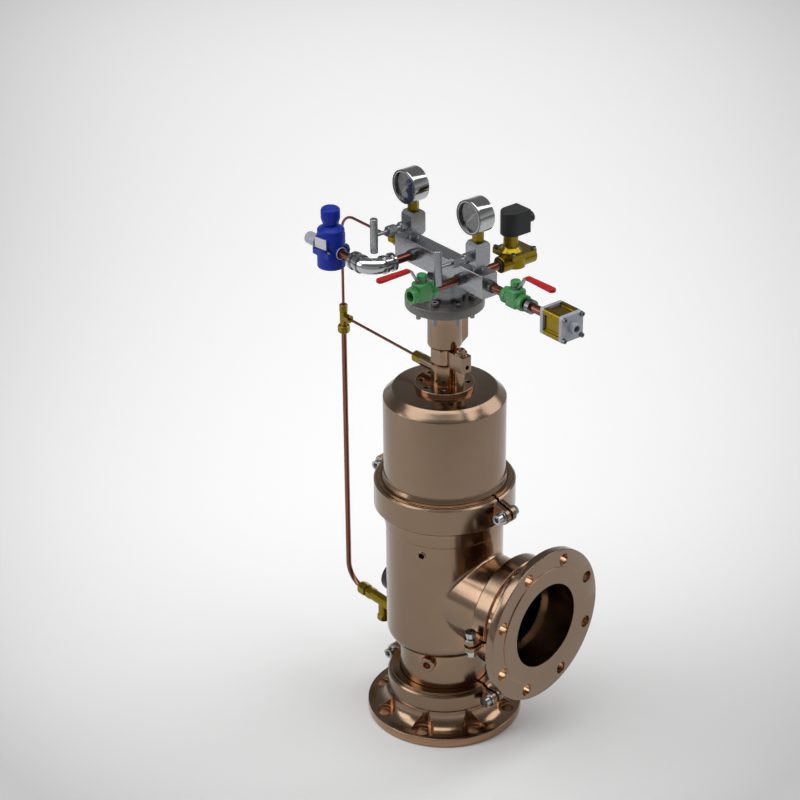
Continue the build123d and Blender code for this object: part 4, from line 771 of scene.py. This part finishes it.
def make_floor(tone, edge):
    """Pale floor that keeps the valve's shadow. To the camera it shows a painted pool of light behind the
    valve, with painted shade towards its edges; the painted glow is also seen in gloss and through glass.
    """
    bpy.ops.mesh.primitive_plane_add(size=FLOOR_SIZE, location=(0, 0, 0))
    floor = bpy.context.object
    floor.name = "studio_floor"
    material = bpy.data.materials.new("studio_floor")
    material.use_nodes = True
    tree = material.node_tree
    shader = tree.nodes["Principled BSDF"]
    shader.inputs["Roughness"].default_value = 0.6
    shader.inputs["Specular IOR Level"].default_value = 0.1
    shader.inputs["Emission Strength"].default_value = 1.0
    coords = tree.nodes.new("ShaderNodeTexCoord")
    turned = tree.nodes.new("ShaderNodeMapping")
    turned.inputs["Rotation"].default_value = (0, 0, -math.radians(CAMERA_TURN[2]))
    tree.links.new(coords.outputs["Object"], turned.inputs["Vector"])
    split = tree.nodes.new("ShaderNodeSeparateXYZ")
    tree.links.new(turned.outputs[0], split.inputs[0])
    across, away = split.outputs["X"], held(tree, split.outputs["Y"], POOL_NEAR, POOL_FAR)
    # The painted pool is laid out on the picture plane of a camera at a fixed place: across and up are
    # divided by the depth from it
    spread = series(tree, away, POOL_WIDTH)
    side = maths(tree, "DIVIDE", across, spread)
    rise = held(tree, maths(tree, "DIVIDE", series(tree, away, POOL_HEIGHT), spread), POOL_LOW, POOL_HIGH)
    pool = maths(tree, "ADD", series(tree, side, POOL_SIDE), series(tree, rise, POOL_RISE))
    pool = maths(tree, "MAXIMUM", pool, edge)
    # What the lamps alone give the floor at this distance
    lit = series(tree, held(tree, away, 0.0, LIT_FAR), LIT_AWAY)
    rays = tree.nodes.new("ShaderNodeLightPath")
    # Painted shade: to the camera, the floor's colour is darkened where the pool's tone falls below what the
    # lamps give
    shade = maths(tree, "MAXIMUM", maths(tree, "SUBTRACT", 1.0, maths(tree, "DIVIDE", pool, lit)), 0.0)
    share = maths(tree, "SUBTRACT", 1.0, maths(tree, "MULTIPLY", shade, rays.outputs["Is Camera Ray"]))
    mix = tree.nodes.new("ShaderNodeMix")
    mix.data_type = "RGBA"
    mix.inputs[6].default_value = (0, 0, 0, 1)
    mix.inputs[7].default_value = (*tone, 1)
    tree.links.new(share, mix.inputs["Factor"])
    tree.links.new(mix.outputs[2], shader.inputs["Base Color"])
    seen = maths(tree, "ADD", rays.outputs["Is Camera Ray"], rays.outputs["Is Glossy Ray"])
    seen = maths(tree, "MINIMUM", maths(tree, "ADD", seen, rays.outputs["Is Transmission Ray"]), 1.0)
    # Painted light: an emission glow lifts the floor to the pool's tone where that is above what the lamps
    # give
    painted_glow = maths(tree, "MULTIPLY", maths(tree, "MAXIMUM", maths(tree, "SUBTRACT", pool, lit), 0.0), seen)
    glow = tree.nodes.new("ShaderNodeCombineColor")
    for socket in glow.inputs[:3]:
        tree.links.new(painted_glow, socket)
    tree.links.new(glow.outputs[0], shader.inputs["Emission Color"])
    floor.data.materials.append(material)


def make_world(horizon, sky):
    """Even room light that is palest at the horizon."""
    world = bpy.data.worlds.new("studio")
    bpy.context.scene.world = world
    world.use_nodes = True
    tree = world.node_tree
    coords = tree.nodes.new("ShaderNodeTexCoord")
    split = tree.nodes.new("ShaderNodeSeparateXYZ")
    tree.links.new(coords.outputs["Generated"], split.inputs[0])
    ramp = tree.nodes.new("ShaderNodeMapRange")
    ramp.inputs["From Min"].default_value = SKY_START
    ramp.inputs["From Max"].default_value = SKY_END
    ramp.inputs["To Min"].default_value = horizon
    ramp.inputs["To Max"].default_value = sky
    tree.links.new(split.outputs["Z"], ramp.inputs["Value"])
    back = tree.nodes["Background"]
    back.inputs["Color"].default_value = (1, 1, 1, 1)
    tree.links.new(ramp.outputs["Result"], back.inputs["Strength"])


class DELUGE_OT_build_studio(bpy.types.Operator):
    """Set the camera, the lamps, the pale floor and the room's light"""
    bl_idname = "deluge.build_studio"
    bl_label = "Build the studio"

    def execute(self, context):
        studio = context.scene.valve_studio
        lens = bpy.data.cameras.new("camera")
        camera = bpy.data.objects.new("camera", lens)
        context.collection.objects.link(camera)
        camera.location = CAMERA_PLACE
        camera.rotation_euler = [math.radians(angle) for angle in CAMERA_TURN]
        lens.lens = CAMERA_LENS
        lens.sensor_width = CAMERA_SENSOR
        lens.shift_x = CAMERA_SHIFT
        lens.clip_end = CAMERA_END
        context.scene.camera = camera
        key = area_light("key_light", KEY_PLACE, VALVE_MIDDLE, KEY_SIZE, studio.key_power)
        key.rotation_euler = (0, 0, math.radians(CAMERA_TURN[2]))
        area_light("side_light", SIDE_PLACE, VALVE_MIDDLE, SIDE_SIZE, studio.side_power)
        area_light("left_light", LEFT_PLACE, LEFT_TARGET, LEFT_SIZE, studio.branch_power)
        make_floor(tuple(studio.floor_tone), studio.floor_edge)
        make_world(studio.horizon_level, studio.sky_level)
        context.scene.view_settings.view_transform = "Standard"
        return {"FINISHED"}


class DELUGE_PT_panel(bpy.types.Panel):
    bl_idname = "DELUGE_PT_panel"
    bl_label = "Deluge valve"
    bl_space_type = "VIEW_3D"
    bl_region_type = "UI"
    bl_category = "Deluge valve"

    def draw(self, context):
        for group in (context.scene.valve_colours, context.scene.valve_studio):
            for name in group.__annotations__:
                self.layout.prop(group, name)
        for operator in OPERATORS:
            self.layout.operator(operator.bl_idname)


OPERATORS = (DELUGE_OT_finish_solids, DELUGE_OT_pipe_rings, DELUGE_OT_valve_shells, DELUGE_OT_lever_caps,
             DELUGE_OT_regulator_plate, DELUGE_OT_port_rims, DELUGE_OT_gauge_faces, DELUGE_OT_build_studio)
CLASSES = (ValveColours, StudioSettings, *OPERATORS, DELUGE_PT_panel)


def register():
    for cls in CLASSES:
        bpy.utils.register_class(cls)
    bpy.types.Scene.valve_colours = bpy.props.PointerProperty(type=ValveColours)
    bpy.types.Scene.valve_studio = bpy.props.PointerProperty(type=StudioSettings)


def unregister():
    del bpy.types.Scene.valve_studio
    del bpy.types.Scene.valve_colours
    for cls in reversed(CLASSES):
        bpy.utils.unregister_class(cls)


def main():
    register()
    bpy.ops.object.select_all(action="DESELECT")
    bpy.ops.deluge.finish_solids()
    bpy.ops.deluge.pipe_rings()
    bpy.ops.deluge.valve_shells()
    bpy.ops.deluge.lever_caps()
    bpy.ops.deluge.regulator_plate()
    bpy.ops.deluge.port_rims()
    bpy.ops.deluge.gauge_faces()
    bpy.ops.deluge.build_studio()


if __name__ == "__main__":
    main()
